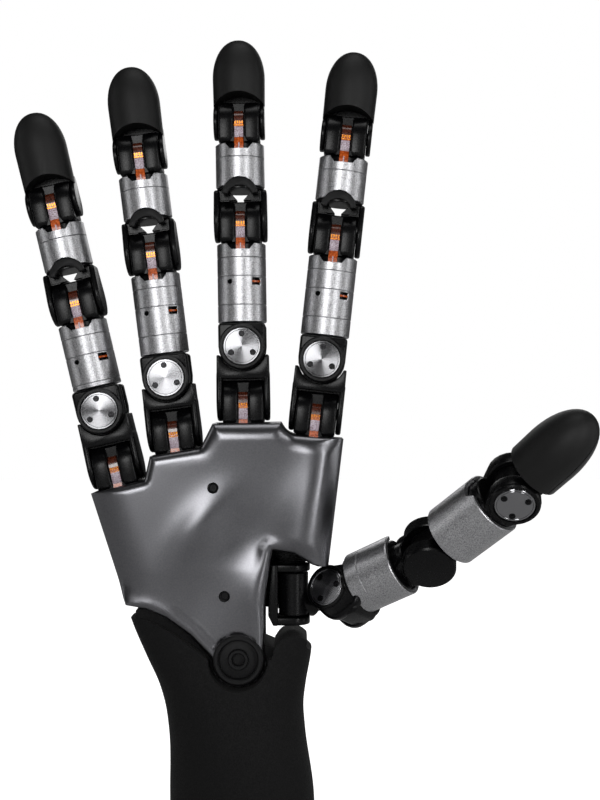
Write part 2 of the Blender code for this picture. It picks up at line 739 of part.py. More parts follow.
def wrist_pivot(palm):
    """The pin of the wrist hinge, with its ring and its hub."""
    reach = PALM_HALF_DEPTH
    body = drum(palm, 4.0, (0, -reach - 0.2, 0), (0, reach + 0.6, 0), 20)
    ring = drum(palm, 7.8, (0, -reach - 1.4, 0), (0, -reach - GAP, 0), 24)
    washer = drum(palm, 7.8, (0, reach + GAP, 0), (0, reach + 1.4, 0), 24)
    join(body, ring, washer)
    recess = drum(palm, 6.4, (0, -reach - 3, 0), (0, -reach - 0.8, 0), 24)
    hub = drum(palm, 3.6, (0, -reach - 1.2, 0), (0, -reach + 0.5, 0), 16)
    cut(body, recess)
    join(body, hub)
    part("wrist_pivot", cut(body, drum(palm, 1.9, (0, -20, 0), (0, -6, 0), 12)), BLACK)


def wrist_cuff():
    """The cuff: round at its end face, wide and flat where it meets the palm."""
    root = joint("cuff_frame", None)
    body = stack(root, [superellipse(*section) for section in CUFF_SECTIONS])
    cut(body, slab(root, ABOVE_SHOULDERS, -40, 40))
    for side in (-1, 1):
        pocket = slab(root, CUFF_POCKET, *sorted((side * TONGUE_HALF_DEPTH, side * 40)))
        cut(body, pocket)
    bore = drum(root, 4.15, (0, -40, PIVOT_HEIGHT), (0, 40, PIVOT_HEIGHT), 28)
    part("wrist_cuff", cut(body, bore), CUFF)
    return root


def build_hand():
    cuff = wrist_cuff()
    palm = joint("palm_axis", cuff, (0, 0, PIVOT_HEIGHT))
    mounts = [build_finger(palm, finger) for finger in FINGERS]
    part("palm_plate", palm_shell(palm, mounts, -1), PALM_METAL)
    back_cover(palm, mounts)
    palm_frame(palm, mounts)
    wrist_pivot(palm)
    build_thumb(palm)


build_hand()
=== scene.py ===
# %% [markdown]
# # A powered prosthetic hand
#
# The frame of this model is a finished mechanical design: sixty solids that already hinge where
# they should. This lesson dresses that frame. Most pieces of such a hand are turned, milled or
# moulded, so most of them are built here from three simple forms: an outline pushed into a bar,
# a profile turned on a lathe, and a skin stretched over sections. Everything is modelled in
# millimetres in the frame of its own joint, and then set in place in metres.

# %% The frame and its box
import json
from math import asin, cos, degrees, pi, radians, sin

import bmesh
import bpy
import numpy as np
from mathutils import Matrix, Vector
from mathutils.geometry import convex_hull_2d, delaunay_2d_cdt


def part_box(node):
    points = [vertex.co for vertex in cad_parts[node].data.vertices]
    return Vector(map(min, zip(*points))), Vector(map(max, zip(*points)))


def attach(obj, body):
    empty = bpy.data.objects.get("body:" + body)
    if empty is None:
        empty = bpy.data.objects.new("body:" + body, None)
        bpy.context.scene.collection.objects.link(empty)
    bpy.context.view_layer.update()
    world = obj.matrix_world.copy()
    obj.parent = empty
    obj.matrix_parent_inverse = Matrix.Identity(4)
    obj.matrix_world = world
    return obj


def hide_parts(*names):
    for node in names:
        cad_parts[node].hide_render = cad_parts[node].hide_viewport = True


MM = 0.001
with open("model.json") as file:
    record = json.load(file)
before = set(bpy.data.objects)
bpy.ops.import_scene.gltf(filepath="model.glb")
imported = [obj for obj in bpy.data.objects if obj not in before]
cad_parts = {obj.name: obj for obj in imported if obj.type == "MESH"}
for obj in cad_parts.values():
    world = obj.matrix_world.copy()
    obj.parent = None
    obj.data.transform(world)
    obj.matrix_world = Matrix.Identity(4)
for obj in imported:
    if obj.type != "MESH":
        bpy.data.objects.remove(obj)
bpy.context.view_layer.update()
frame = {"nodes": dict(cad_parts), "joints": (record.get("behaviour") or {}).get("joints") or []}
JOINTS = {joint["name"]: joint for joint in frame["joints"]}
FINGERS = ("little", "ring", "middle", "index")
bpy.context.scene.view_settings.view_transform = "Standard"

# %% [markdown]
# ## Frames to work in
#
# A finger is easiest to model lying along its own Z axis, with its hinge pins along X and the
# palm side at -Y. The joints of the frame say where those axes are. One small function turns two
# joints into such a frame: the first gives the origin and X, the second says which way Z runs.

# %% Local frames from the joints


def place_of(name):
    """Where a joint is, in metres."""
    return Vector(JOINTS[name]["pos_m"])


def axis_of(name):
    """The direction that a joint turns about."""
    return Vector(JOINTS[name]["axis"]).normalized()


def frame_between(origin, x_axis, towards):
    """A frame in metres at origin, with X along the hinge and Z towards the next joint."""
    along = (towards - origin) - x_axis * (towards - origin).dot(x_axis)
    z_axis = along.normalized()
    turn = Matrix((x_axis, z_axis.cross(x_axis), z_axis)).transposed()
    return Matrix.Translation(origin) @ turn.to_4x4()


def finger_frames(finger):
    """The frames of a finger's four hinges, from the knuckle out to the end."""
    x_axis = axis_of(f"{finger}_bend")
    end = place_of(f"{finger}_end_bend")
    root = place_of(f"{finger}_bend")
    beyond = end + (end - root)
    stops = [place_of(f"{finger}_{hinge}") for hinge in ("bend", "spread", "middle_bend", "end_bend")]
    return [frame_between(stop, x_axis, beyond) for stop in stops]


def reach(first, second):
    """How far apart two joints are, in millimetres."""
    return (place_of(second) - place_of(first)).length / MM


print("index finger, knuckle to end hinge:", round(reach("index_bend", "index_end_bend"), 1), "mm")

# %% [markdown]
# ## Materials
#
# Everything on this hand is either aluminium or a black plastic, and yet no two surfaces look
# alike. What tells them apart is the way each was made: drawn, turned, anodised, sintered or
# moulded. A material here starts from that, with a pattern whose scale is a real size.

# %% Colour and node helpers


def linear(code):
    """An sRGB hex colour as the linear values that a shader wants."""
    channels = [int(code[i : i + 2], 16) / 255 for i in (1, 3, 5)]
    turned = [c / 12.92 if c <= 0.04045 else ((c + 0.055) / 1.055) ** 2.4 for c in channels]
    return (*turned, 1.0)


def add(tree, kind, settings=None, **links):
    """Add a node, give it its settings and plug the named links into its inputs."""
    node = tree.nodes.new(kind)
    for name, value in (settings or {}).items():
        if hasattr(node, name):
            setattr(node, name, value)
        else:
            node.inputs[name.replace("_", " ")].default_value = value
    for name, socket in links.items():
        target = int(name[1:]) if name[0] == "i" and name[1:].isdigit() else name.replace("_", " ")
        tree.links.new(socket, node.inputs[target])
    return node


def material(name, hex_code, roughness, metallic, **extras):
    """A Principled material; extras are plain values for its other sockets."""
    made = bpy.data.materials.new(name)
    made.use_nodes = True
    shader = made.node_tree.nodes["Principled BSDF"]
    shader.inputs["Base Color"].default_value = linear(hex_code)
    shader.inputs["Roughness"].default_value = roughness
    shader.inputs["Metallic"].default_value = metallic
    for socket, value in extras.items():
        shader.inputs[socket.replace("_", " ")].default_value = value
    return made


def grain(made, size_mm, colours, roughness, bump_mm, stretch=(1, 1, 1)):
    """Lay a grain of a real size on a material: its colour, its roughness and its bump."""
    tree = made.node_tree
    shader = tree.nodes["Principled BSDF"]
    where = add(tree, "ShaderNodeTexCoord").outputs["Object"]
    spread = add(tree, "ShaderNodeMapping", {"Scale": stretch}, Vector=where).outputs["Vector"]
    noise = add(tree, "ShaderNodeTexNoise", {"Scale": 1 / (size_mm * MM), "Detail": 3.0}, Vector=spread)
    ramp = add(tree, "ShaderNodeValToRGB", Fac=noise.outputs["Fac"])
    ramp.color_ramp.elements[0].position = 0.3
    ramp.color_ramp.elements[1].position = 0.7
    for stop, code in zip(ramp.color_ramp.elements, colours):
        stop.color = linear(code)
    tree.links.new(ramp.outputs["Color"], shader.inputs["Base Color"])
    rough = add(
        tree,
        "ShaderNodeMapRange",
        {"From_Min": 0.3, "From_Max": 0.7, "To_Min": roughness[0], "To_Max": roughness[1]},
        Value=noise.outputs["Fac"],
    )
    tree.links.new(rough.outputs["Result"], shader.inputs["Roughness"])
    bump = add(
        tree, "ShaderNodeBump", {"Strength": 1.0, "Distance": bump_mm * MM}, Height=noise.outputs["Fac"]
    )
    tree.links.new(bump.outputs["Normal"], shader.inputs["Normal"])


# %% [markdown]
# Drawn aluminium tube is blasted with fine glass beads, which leaves a salt-and-pepper grain of
# about 0.1 mm. It is drawn at 0.35 mm here, because anything finer would vanish. The palm is the
# same metal with a satin grey finish. Anodising turns the joints a deep black with a soft gloss.

# %% The metals
DRAWN = material("blasted_aluminium", "#B2B2B4", 0.36, 1.0, Anisotropic=0.35)
grain(DRAWN, 0.35, ("#7E7E81", "#CCCCCE"), (0.28, 0.46), 0.013)
SATIN = material("satin_grey_aluminium", "#69696C", 0.29, 1.0)
grain(SATIN, 0.5, ("#646467", "#6E6E71"), (0.275, 0.305), 0.0004)
ANODISED = material("black_anodised_aluminium", "#060607", 0.3, 0.0, Specular_IOR_Level=0.16)
grain(ANODISED, 0.6, ("#040405", "#070708"), (0.26, 0.31), 0.0003)
BLASTED_BLACK = material("blasted_black_aluminium", "#0E0E0F", 0.5, 0.0, Specular_IOR_Level=0.18)
grain(BLASTED_BLACK, 0.3, ("#0A0A0B", "#141415"), (0.42, 0.58), 0.003)
OXIDE = material("black_oxide_steel", "#1A1A1B", 0.25, 1.0)
grain(OXIDE, 0.4, ("#141415", "#2A2A2B"), (0.18, 0.3), 0.003)
print("metals:", [m.name for m in (DRAWN, SATIN, ANODISED, BLASTED_BLACK, OXIDE)])

# %% [markdown]
# A cap that was faced on a lathe is covered with rings too fine to see. They stretch every
# reflection across them, so a light shows as a bright wedge that points at the middle. That is
# anisotropy. It needs to know which way the rings run, and the cap's UV map says so: U goes
# round and V goes outwards.

# %% Faced aluminium


def lathe_rings(made):
    """Point a metal's reflections along its turning marks, and vary its gloss from ring to ring."""
    tree = made.node_tree
    shader = tree.nodes["Principled BSDF"]
    tangent = add(tree, "ShaderNodeTangent", {"direction_type": "UV_MAP", "uv_map": "turning"})
    tree.links.new(tangent.outputs["Tangent"], shader.inputs["Tangent"])
    uv = add(tree, "ShaderNodeUVMap", {"uv_map": "turning"}).outputs["UV"]
    ring_count = add(tree, "ShaderNodeMapping", {"Scale": (0.5, 46.0, 1.0)}, Vector=uv)
    where = ring_count.outputs["Vector"]
    rings = add(tree, "ShaderNodeTexNoise", {"Scale": 1.0, "Detail": 2.0}, Vector=where)
    rough = add(
        tree, "ShaderNodeMapRange", {"To_Min": 0.14, "To_Max": 0.26}, Value=rings.outputs["Fac"]
    )
    tree.links.new(rough.outputs["Result"], shader.inputs["Roughness"])


FACED = material("faced_aluminium", "#808082", 0.22, 1.0, Anisotropic=0.92, Anisotropic_Rotation=0.25)
lathe_rings(FACED)
print("faced aluminium turns its reflections into wedges")

# %% [markdown]
# The pads are moulded silicone, dull and almost without colour. The cuff is sintered nylon, dyed
# black: it is built up from powder, so it keeps a grain of about 0.45 mm that catches light
# like velvet. The flex circuits are amber polyimide film with gold contacts and printed parts.

# %% The plastics
PAD = material("moulded_silicone", "#080808", 0.55, 0.0, Specular_IOR_Level=0.3)
grain(PAD, 0.5, ("#050505", "#0A0A0A"), (0.50, 0.62), 0.006)
NYLON = material(
    "sintered_nylon", "#040405", 0.8, 0.0, Specular_IOR_Level=0.2, Sheen_Weight=0.02, Sheen_Roughness=0.4
)
grain(NYLON, 0.45, ("#020202", "#080809"), (0.62, 0.9), 0.05)
AMBER = material("amber_polyimide", "#B4480E", 0.3, 0.0, Coat_Weight=0.15)
grain(AMBER, 0.7, ("#7E2A04", "#CC5C0C"), (0.2, 0.32), 0.003)
BROWN = material("ribbed_polyimide", "#3A160A", 0.3, 0.0, Coat_Weight=0.5)
grain(BROWN, 0.5, ("#240C05", "#5A2410"), (0.22, 0.35), 0.004)
PRINTED = material("printed_pads", "#C9A9B4", 0.35, 0.0)
grain(PRINTED, 0.34, ("#4E1418", "#D8CCDA"), (0.25, 0.5), 0.02)
GOLD = material("gold_contact", "#E39A24", 0.25, 1.0)
grain(GOLD, 0.3, ("#96560C", "#C08024"), (0.2, 0.3), 0.003)
print("plastics:", [m.name for m in (PAD, NYLON, AMBER, BROWN, PRINTED, GOLD)])

# %% [markdown]
# ## Three forms
#
# A hinge piece is an outline pushed into a bar, with its edges broken. Its outline is nearly
# always a band drawn tight round a few circles, so one function makes that band. A tube, a cap
# or a ring is a profile turned on a lathe. A fingertip or a cuff is a skin over sections.

# %% Bars


def band(*circles, steps=24):
    """The outline of a band drawn tight round circles, each given as (u, v, radius)."""
    points = []
    for u, v, radius in circles:
        for i in range(steps):
            angle = 2 * pi * i / steps
            points.append(Vector((u + radius * cos(angle), v + radius * sin(angle))))
    return [tuple(points[i]) for i in convex_hull_2d(points)]


def oriented(u, v, w, along):
    """A point from its place in an outline and its distance along the bar."""
    return {"X": (w, u, v), "Y": (u, w, v), "Z": (u, v, w)}[along]


def bar(outline, low, high, along="X", edge=0.5, segments=3):
    """An outline pushed along an axis from low to high, with its sharp edges rounded."""
    bm = bmesh.new()
    ends = [[bm.verts.new(oriented(u, v, w, along)) for u, v in outline] for w in (low, high)]
    count = len(outline)
    for i in range(count):
        j = (i + 1) % count
        bm.faces.new((ends[0][i], ends[0][j], ends[1][j], ends[1][i]))
    bm.faces.new(reversed(ends[0]))
    bm.faces.new(ends[1])
    bmesh.ops.recalc_face_normals(bm, faces=bm.faces)
    if edge:
        sharp = [e for e in bm.edges if e.calc_face_angle(0) > radians(25)]
        bmesh.ops.bevel(
            bm, geom=sharp, offset=edge, segments=segments, profile=0.5, affect="EDGES"
        )
    return bm


def box(low, high, edge=0.3):
    """A block between two corners."""
    outline = [(low[0], low[2]), (high[0], low[2]), (high[0], high[2]), (low[0], high[2])]
    return bar(outline, low[1], high[1], "Y", edge, 2)


# %% Lathe work


def turned(profile, along="Z", segments=64, ring=False):
    """A profile of (radius, height) turned about an axis; a ring's profile is a closed loop."""
    bm = bmesh.new()
    turns = [2 * pi * i / segments for i in range(segments)]
    rows = []
    for radius, height in profile:
        circle = [oriented(radius * cos(a), radius * sin(a), height, along) for a in turns]
        rows.append([bm.verts.new(point) for point in circle])
    pairs = list(zip(rows, rows[1:]))
    if ring:
        pairs.append((rows[-1], rows[0]))
    for low, high in pairs:
        for i in range(segments):
            j = (i + 1) % segments
            bm.faces.new((low[i], low[j], high[j], high[i]))
    bmesh.ops.remove_doubles(bm, verts=bm.verts, dist=1e-4)
    bmesh.ops.dissolve_degenerate(bm, edges=bm.edges, dist=1e-5)
    bmesh.ops.recalc_face_normals(bm, faces=bm.faces)
    return bm


def disc_profile(radius, low, high, edge):
    """A solid disc with a broken edge at both ends."""
    foot = [(0, low), (radius - edge, low), (radius, low + edge)]
    return foot + [(radius, high - edge), (radius - edge, high), (0, high)]


def pair(near, far):
    """The low and high ends of a left piece and of its mirror image on the right."""
    return (-far, -near), (near, far)


# %% Skins over sections


def skin(rings):
    """A closed skin over rings of points that all have the same count."""
    bm = bmesh.new()
    rows = [[bm.verts.new(point) for point in ring] for ring in rings]
    count = len(rows[0])
    for low, high in zip(rows, rows[1:]):
        for i in range(count):
            j = (i + 1) % count
            bm.faces.new((low[i], low[j], high[j], high[i]))
    bm.faces.new(reversed(rows[0]))
    bm.faces.new(rows[-1])
    bmesh.ops.recalc_face_normals(bm, faces=bm.faces)
    return bm


def as_object(bm, name="form"):
    """A form as an object of the scene."""
    mesh = bpy.data.meshes.new(name)
    bm.to_mesh(mesh)
    bm.free()
    obj = bpy.data.objects.new(name, mesh)
    bpy.context.scene.collection.objects.link(obj)
    return obj


def evaluated_form(obj):
    """The form that an object has after its modifiers."""
    depsgraph = bpy.context.evaluated_depsgraph_get()
    mesh = bpy.data.meshes.new_from_object(obj.evaluated_get(depsgraph))
    bm = bmesh.new()
    bm.from_mesh(mesh)
    bpy.data.meshes.remove(mesh)
    return bm


def carve(form, *tools, operation="DIFFERENCE"):
    """Cut the tools out of a form, or keep only what lies inside them."""
    work = as_object(form)
    cutters = [as_object(tool, "cutter") for tool in tools]
    for cutter in cutters:
        step = work.modifiers.new("carve", "BOOLEAN")
        step.operation = operation
        step.solver = "EXACT"
        step.object = cutter
    result = evaluated_form(work)
    for obj in (work, *cutters):
        bpy.data.meshes.remove(obj.data)
    return result


# %% [markdown]
# ## Setting a piece in place
#
# A finished piece keeps its place in its mesh, with its object at the origin. It rides on the
# body that it belongs to, and where it stands for solids of the frame it says which ones.

# %% Finish a piece
PIECES = []


def joined(forms, place):
    """Several forms as one, moved from millimetres in a local frame to metres in the hand's."""
    whole = bmesh.new()
    for form in forms:
        mesh = bpy.data.meshes.new("joined")
        form.to_mesh(mesh)
        form.free()
        whole.from_mesh(mesh)
        bpy.data.meshes.remove(mesh)
    bmesh.ops.transform(whole, matrix=place @ Matrix.Scale(MM, 4), verts=whole.verts)
    return whole


def finish_piece(name, body, place, forms, finish, stands_for=(), sharp=32):
    """Make one piece of the forms, shade it and let it ride."""
    piece = as_object(joined(forms, place), name)
    piece.data.name = name
    piece.data.materials.clear()
    piece.data.materials.append(finish)
    piece.data.shade_smooth()
    piece.data.set_sharp_from_angle(angle=radians(sharp))
    settle(piece, body, stands_for)
    return piece


def settle(piece, body, stands_for=()):
    """Tell the frame which body carries a piece, which nodes it replaces."""
    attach(piece, body)
    if stands_for:
        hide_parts(*stands_for)
    PIECES.append(piece)


def finger_piece(finger, label, segment, place, forms, finish, node="", sharp=32):
    """Finish a piece of a finger, on one of its segments or on the palm."""
    body = f"{finger}_{segment}" if segment else "palm"
    nodes = [f"{finger}_{node}"] if node else ()
    finish_piece(f"{finger}_{label}", body, place, forms, finish, nodes, sharp)


# %% [markdown]
# ## Joint blocks
#
# Each finger joint turns in a black block with two barrels. A slot runs down the middle for the
# flex circuit, and the foot closes the tube below. The block is three bars side by side: two
# cheeks with the full outline, and a web between them that stands back to leave the slot.

# %% Sizes that the joints share
BARREL = 7.0
BLOCK_HALF = 6.92
SLOT_HALF = 1.75
ARM_INNER = 7.0
ARM_OUTER = 8.9
TUBE_RADIUS = 8.25
TUBE_BORE = 6.9
TUBE_TO_AXIS = 7.6
AXIS_TO_TUBE = 11.5
DISC_TO_TUBE = 8.1
CORE_RADIUS = 6.6
ARCH_RADIUS = 6.05
ARCH_CENTRE = AXIS_TO_TUBE - 3.3
ARM_RADIUS = 6.9
PIN_RADIUS = 2.0
PIN_REACH = 8.7


def long_top(finger):
    """The height of a long tube's upper rim above the sideways hinge."""
    return reach(f"{finger}_spread", f"{finger}_middle_bend") - TUBE_TO_AXIS


def short_top(finger):
    """The height of a short tube's upper rim above the middle hinge."""
    return reach(f"{finger}_middle_bend", f"{finger}_end_bend") - TUBE_TO_AXIS


def cross_pin(half_length=PIN_REACH):
    """The hinge pin that crosses a joint."""
    return turned(disc_profile(PIN_RADIUS, -half_length, half_length, 0.2), "X", 24)


def block_forms(bottom, stem=0.0):
    """The cheeks, the web and the slot's lips of a joint block; bottom is the height of its foot."""
    foot = bottom + 1.6
    outline = band((0, 0, BARREL), (-5.3, foot, 1.6), (5.3, foot, 1.6))
    web = [(6.9 * cos(a), 6.9 * sin(a)) for a in np.linspace(0, radians(119), 20)]
    web += [(-3.35, bottom + 0.1), (6.9, bottom + 0.1)]
    forms = [
        bar(outline, -BLOCK_HALF, -SLOT_HALF, edge=0.7),
        bar(outline, SLOT_HALF, BLOCK_HALF, edge=0.7),
        bar(web, -SLOT_HALF - 0.3, SLOT_HALF + 0.3, edge=0),
    ]
    lip = [(-SLOT_HALF - 1.1, bottom), (-SLOT_HALF + 0.1, bottom), (-SLOT_HALF + 0.1, bottom + 2.2)]
    for side in (-1, 1):
        mirrored = [(side * u, v) for u, v in lip]
        forms.append(bar(mirrored, -BARREL - 0.05, -BARREL + 1.0, "Y", edge=0))
    if stem:
        forms.append(turned(disc_profile(CORE_RADIUS - 0.2, bottom - stem, bottom + 1, 0.3)))
    return forms


KNUCKLE_FOOT = -7.7
JOINT_FOOT = -TUBE_TO_AXIS + 0.3
BASE_STEM = 6.0
for finger in FINGERS:
    knuckle, swing, middle, end = finger_frames(finger)
    base = block_forms(KNUCKLE_FOOT, BASE_STEM)
    finger_piece(finger, "base_block", "", knuckle, base, ANODISED, "knuckle_base")
    joint = block_forms(JOINT_FOOT)
    finger_piece(finger, "middle_joint", "proximal", middle, joint, ANODISED, "middle_block")
    finger_piece(finger, "end_joint", "middle", end, block_forms(JOINT_FOOT), ANODISED, "end_block")
print("joint blocks:", len(PIECES))

# %% [markdown]
# ## Knuckle links and yokes
#
# A link hinges on the base block with two arms and ends in a tongue. The yoke above it holds the
# tongue between two flat cheeks, so the finger can also sway sideways. A raised ring on the
# front cheek frames the cap of that second hinge.

# %% Links
CHEEK_INNER = 3.1
CHEEK_FACE = 8.1


SADDLE_RADIUS = 7.3
SADDLE_HALF = ARM_INNER + 0.2


def saddle(top, spans):
    """The back of a fork across each span, so close round the barrels that no gap shows."""
    turns = np.linspace(radians(-20), radians(58), 14)
    outline = [(SADDLE_RADIUS * sin(a), SADDLE_RADIUS * cos(a)) for a in turns]
    outline += [(6.6, top), (-2.6, top)]
    return [bar(outline, low, high, edge=0) for low, high in spans]


def link_forms(disc_height):
    """Two arms, a bridge over the block and the tongue for the sideways hinge."""
    bridge_top = disc_height - 8.2
    arm = band((0, 0, ARM_RADIUS), (-4.0, 8.2, 1.8), (4.0, 8.2, 1.8))
    forms = [bar(arm, low, high, edge=0.7) for low, high in pair(ARM_INNER, ARM_OUTER)]
    crown = [(-8.8, 7.5), (8.8, 7.5), (8.7, disc_height - 2.8)]
    turns = np.linspace(radians(-20), radians(-160), 24)
    crown += [(8.2 * cos(a), disc_height + 8.2 * sin(a)) for a in turns]
    crown.append((-8.7, disc_height - 2.8))
    forms.append(bar(crown, -5.8, 5.6, "Y", edge=0.3, segments=2))
    forms += saddle(bridge_top, [(-SADDLE_HALF, SADDLE_HALF)])
    tongue = band((0, disc_height, 6.3), (-4.2, 8.4, 1.2), (4.2, 8.4, 1.2))
    forms.append(bar(tongue, -2.8, 2.8, "Y", edge=0.4))
    forms.append(cross_pin())
    return forms


def yoke_forms(tube_top):
    """Two cheeks about the tongue, the shoulder under the tube and the core inside it."""
    front = band((0, 0, 7.9), (-6.7, 6.6, 1.2), (6.7, 6.6, 1.2))
    forms = [
        bar(front, -CHEEK_FACE, -CHEEK_INNER, "Y", edge=0.8),
        bar(front, CHEEK_INNER, CHEEK_FACE, "Y", edge=0.8),
        box((-6.8, -CHEEK_INNER - 0.4, 6.8), (6.8, CHEEK_INNER + 0.4, DISC_TO_TUBE - 0.3)),
        turned(disc_profile(CORE_RADIUS, 7.0, tube_top, 0.3), segments=40),
    ]
    ring = [(6.55, -8.75), (6.55, -7.9), (7.7, -7.9), (7.7, -8.3), (7.25, -8.75)]
    forms.append(turned(ring, "Y", 56, ring=True))
    return forms


for finger in FINGERS:
    knuckle, swing, middle, end = finger_frames(finger)
    link = link_forms(reach(f"{finger}_bend", f"{finger}_spread"))
    finger_piece(finger, "link", "knuckle", knuckle, link, ANODISED, "knuckle_link")
    yoke = yoke_forms(long_top(finger))
    finger_piece(finger, "yoke", "proximal", swing, yoke, ANODISED, "proximal_yoke")
print("links and yokes bring it to", len(PIECES))

# %% [markdown]
# ## Tubes
#
# Each segment's motor sits in a drawn tube. Its parts meet in hairline seams, which are grooves
# of 0.22 mm in the profile, so they stay true from every side. A slot in the upper rim lets the
# flex circuit out. Both rims are chamfered and catch a thin bright line.

# %% Tubes with seams, slots and windows
SEAM_WIDTH = 0.36
SEAM_DEPTH = 0.22
RIM = 0.3


def tube(outer, bore, low, high, seams):
    """A tube with chamfered rims and a fine groove at each seam."""
    profile = [(bore, high), (bore, low), (outer - RIM, low), (outer, low + RIM)]
    for height in sorted(seams):
        profile += [
            (outer, height - SEAM_WIDTH / 2),
            (outer - SEAM_DEPTH, height),
            (outer, height + SEAM_WIDTH / 2),
        ]
    profile += [(outer, high - RIM), (outer - RIM, high)]
    return turned(profile, segments=96, ring=True)


def cable_slot(top, half_width, depth):
    """The cutter for the slot in a rim: wide at the rim and narrower below."""
    outline = [
        (-half_width, top + 1),
        (-half_width, top - 0.4),
        (-half_width * 0.68, top - depth),
        (half_width * 0.68, top - depth),
        (half_width, top - 0.4),
        (half_width, top + 1),
    ]
    return bar(outline, -12, -4, "Y", edge=0)


def circle_at(x, z, radius, count):
    """A circle as the outline of a bar."""
    turns = np.linspace(0, 2 * pi, count, endpoint=False)
    return [(x + radius * cos(a), z + radius * sin(a)) for a in turns]


def round_cutter(x, z, radius):
    """The cutter for a round hole in the palm side."""
    return bar(circle_at(x, z, radius, 20), -14, -4, "Y", edge=0)


# Seams below the upper rim, and the window and set screw, on a long tube (mm)
LONG_SEAMS = (4.8, 11.1, 20.7)
WINDOW = (3.7, 6.5, 14.2, 11.6)
SET_SCREW = (-3.7, 13.0)
SLOT_WIDTH, SLOT_DEPTH = 4.5, 2.2


def long_tube(top):
    """The proximal tube, with its cable slot, its window and the hole of its set screw."""
    seams = [top - drop for drop in LONG_SEAMS if top - drop > DISC_TO_TUBE + 1.5]
    body = tube(TUBE_RADIUS, TUBE_BORE, DISC_TO_TUBE, top, seams)
    left, right, low, high = WINDOW
    pane = [(left, top - low), (right, top - low), (right, top - high), (left, top - high)]
    window = bar(pane, -12, -3, "Y", edge=0)
    screw_hole = round_cutter(SET_SCREW[0], top - SET_SCREW[1], 0.85)
    return carve(body, cable_slot(top, SLOT_WIDTH, SLOT_DEPTH), window, screw_hole)


def short_tube(top):
    """The middle tube, with its cable slot and the round opening for the arch."""
    body = tube(TUBE_RADIUS, TUBE_BORE, AXIS_TO_TUBE, top, [top - 4.8])
    opening = round_cutter(0, ARCH_CENTRE, ARCH_RADIUS + 0.25)
    return carve(body, cable_slot(top, SLOT_WIDTH, SLOT_DEPTH), opening)


for finger in FINGERS:
    knuckle, swing, middle, end = finger_frames(finger)
    motor = [long_tube(long_top(finger))]
    finger_piece(finger, "long_tube", "proximal", swing, motor, DRAWN, "proximal_tube", 25)
    sleeve = [short_tube(short_top(finger))]
    finger_piece(finger, "short_tube", "middle", middle, sleeve, DRAWN, "middle_tube", 25)
print("long tube of the index finger:", round(long_top("index") - DISC_TO_TUBE, 1), "mm")

# %% [markdown]
# ## Forks and their arches
#
# The middle joint's fork reaches round the block and carries the short tube. On the palm side it
# shows an arch of blasted black metal, with an opening under it that you can see through.

# %% Forks


FORK_TOP = 10.6


def fork_forms(tube_top):
    """Two arms with wedges beside the opening, the back, the collar, the core and the pin."""
    arm = band((0, 0, ARM_RADIUS), (-3.0, 9.0, 1.6), (3.0, 9.0, 1.6))
    wedge = [(3.4, FORK_TOP), (3.4, 9.9), (1.0, 7.15), (6.5, 7.15), (6.5, FORK_TOP)]
    forms = []
    for side, (low, high) in zip((-1, 1), pair(ARM_INNER, ARM_OUTER)):
        forms.append(bar(arm, low, high, edge=0.7))
        mirrored = [(side * x, z) for x, z in wedge]
        forms.append(bar(mirrored, -2.8, 2.8, "Y", edge=0.1, segments=1))
    forms += saddle(FORK_TOP, pair(3.7, SADDLE_HALF))
    forms.append(turned(disc_profile(8.0, 10.5, AXIS_TO_TUBE - 0.2, 0.2), segments=56))
    forms.append(turned(disc_profile(CORE_RADIUS, FORK_TOP, tube_top, 0.2), segments=40))
    forms.append(cross_pin())
    return forms


def arch_form():
    """The half ring on the palm side, over the opening."""
    turns = np.linspace(radians(8), radians(172), 28)
    outline = [(ARCH_RADIUS * cos(a), ARCH_CENTRE + ARCH_RADIUS * sin(a)) for a in turns]
    outline += [(4.1 * cos(a), ARCH_CENTRE + 3.3 * sin(a)) for a in reversed(turns)]
    return bar(outline, -7.9, -5.0, "Y", edge=0.25, segments=2)


for finger in FINGERS:
    middle = finger_frames(finger)[2]
    fork = fork_forms(short_top(finger))
    finger_piece(finger, "fork", "middle", middle, fork, ANODISED, "middle_fork")
    finger_piece(finger, "arch", "middle", middle, [arch_form()], BLASTED_BLACK)
print("forks and arches bring it to", len(PIECES))

# %% [markdown]
# ## Fingertips
#
# A tip is two shells that close on each other: a soft pad in front and a hard nail side behind.
# Both come from one blunt oval form, which is a skin over sections. The pad's lower edge is cut
# along an arc, so that it clears the joint when the finger bends.

# %% Tips
TIP_WIDTH = 8.85
TIP_LOW = 1.0
TIP_DOME = 13.0
TIP_FLATNESS = 0.84
TIP_STEPS = 14


def tip_form(width, low, top, dome, flatness, count=72):
    """A barrel that closes in a blunt dome; flatness is its depth over its width."""
    shoulder = top - dome
    levels = [(width * 0.95, low), (width * 0.985, low + 0.3 * (shoulder - low)), (width, shoulder)]
    for i in range(1, TIP_STEPS + 1):
        angle = 0.5 * pi * i / TIP_STEPS
        levels.append((max(width * cos(angle) ** 0.92, 0.02), shoulder + dome * sin(angle)))
    rings = []
    for radius, height in levels:
        turns = [2 * pi * i / count for i in range(count)]
        rings.append([(radius * cos(a), flatness * radius * sin(a), height) for a in turns])
    return skin(rings)


def pad_form(top):
    """The front of the tip, with a lower edge cut round the joint."""
    body = tip_form(TIP_WIDTH, TIP_LOW, top, TIP_DOME, TIP_FLATNESS)
    front = box((-12, -14, -1), (12, 1.7, top + 2), 0)
    kept = carve(body, front, operation="INTERSECT")
    return carve(kept, bar(circle_at(0, -2.5, 12.0, 96), -16, 6, "Y", edge=0))


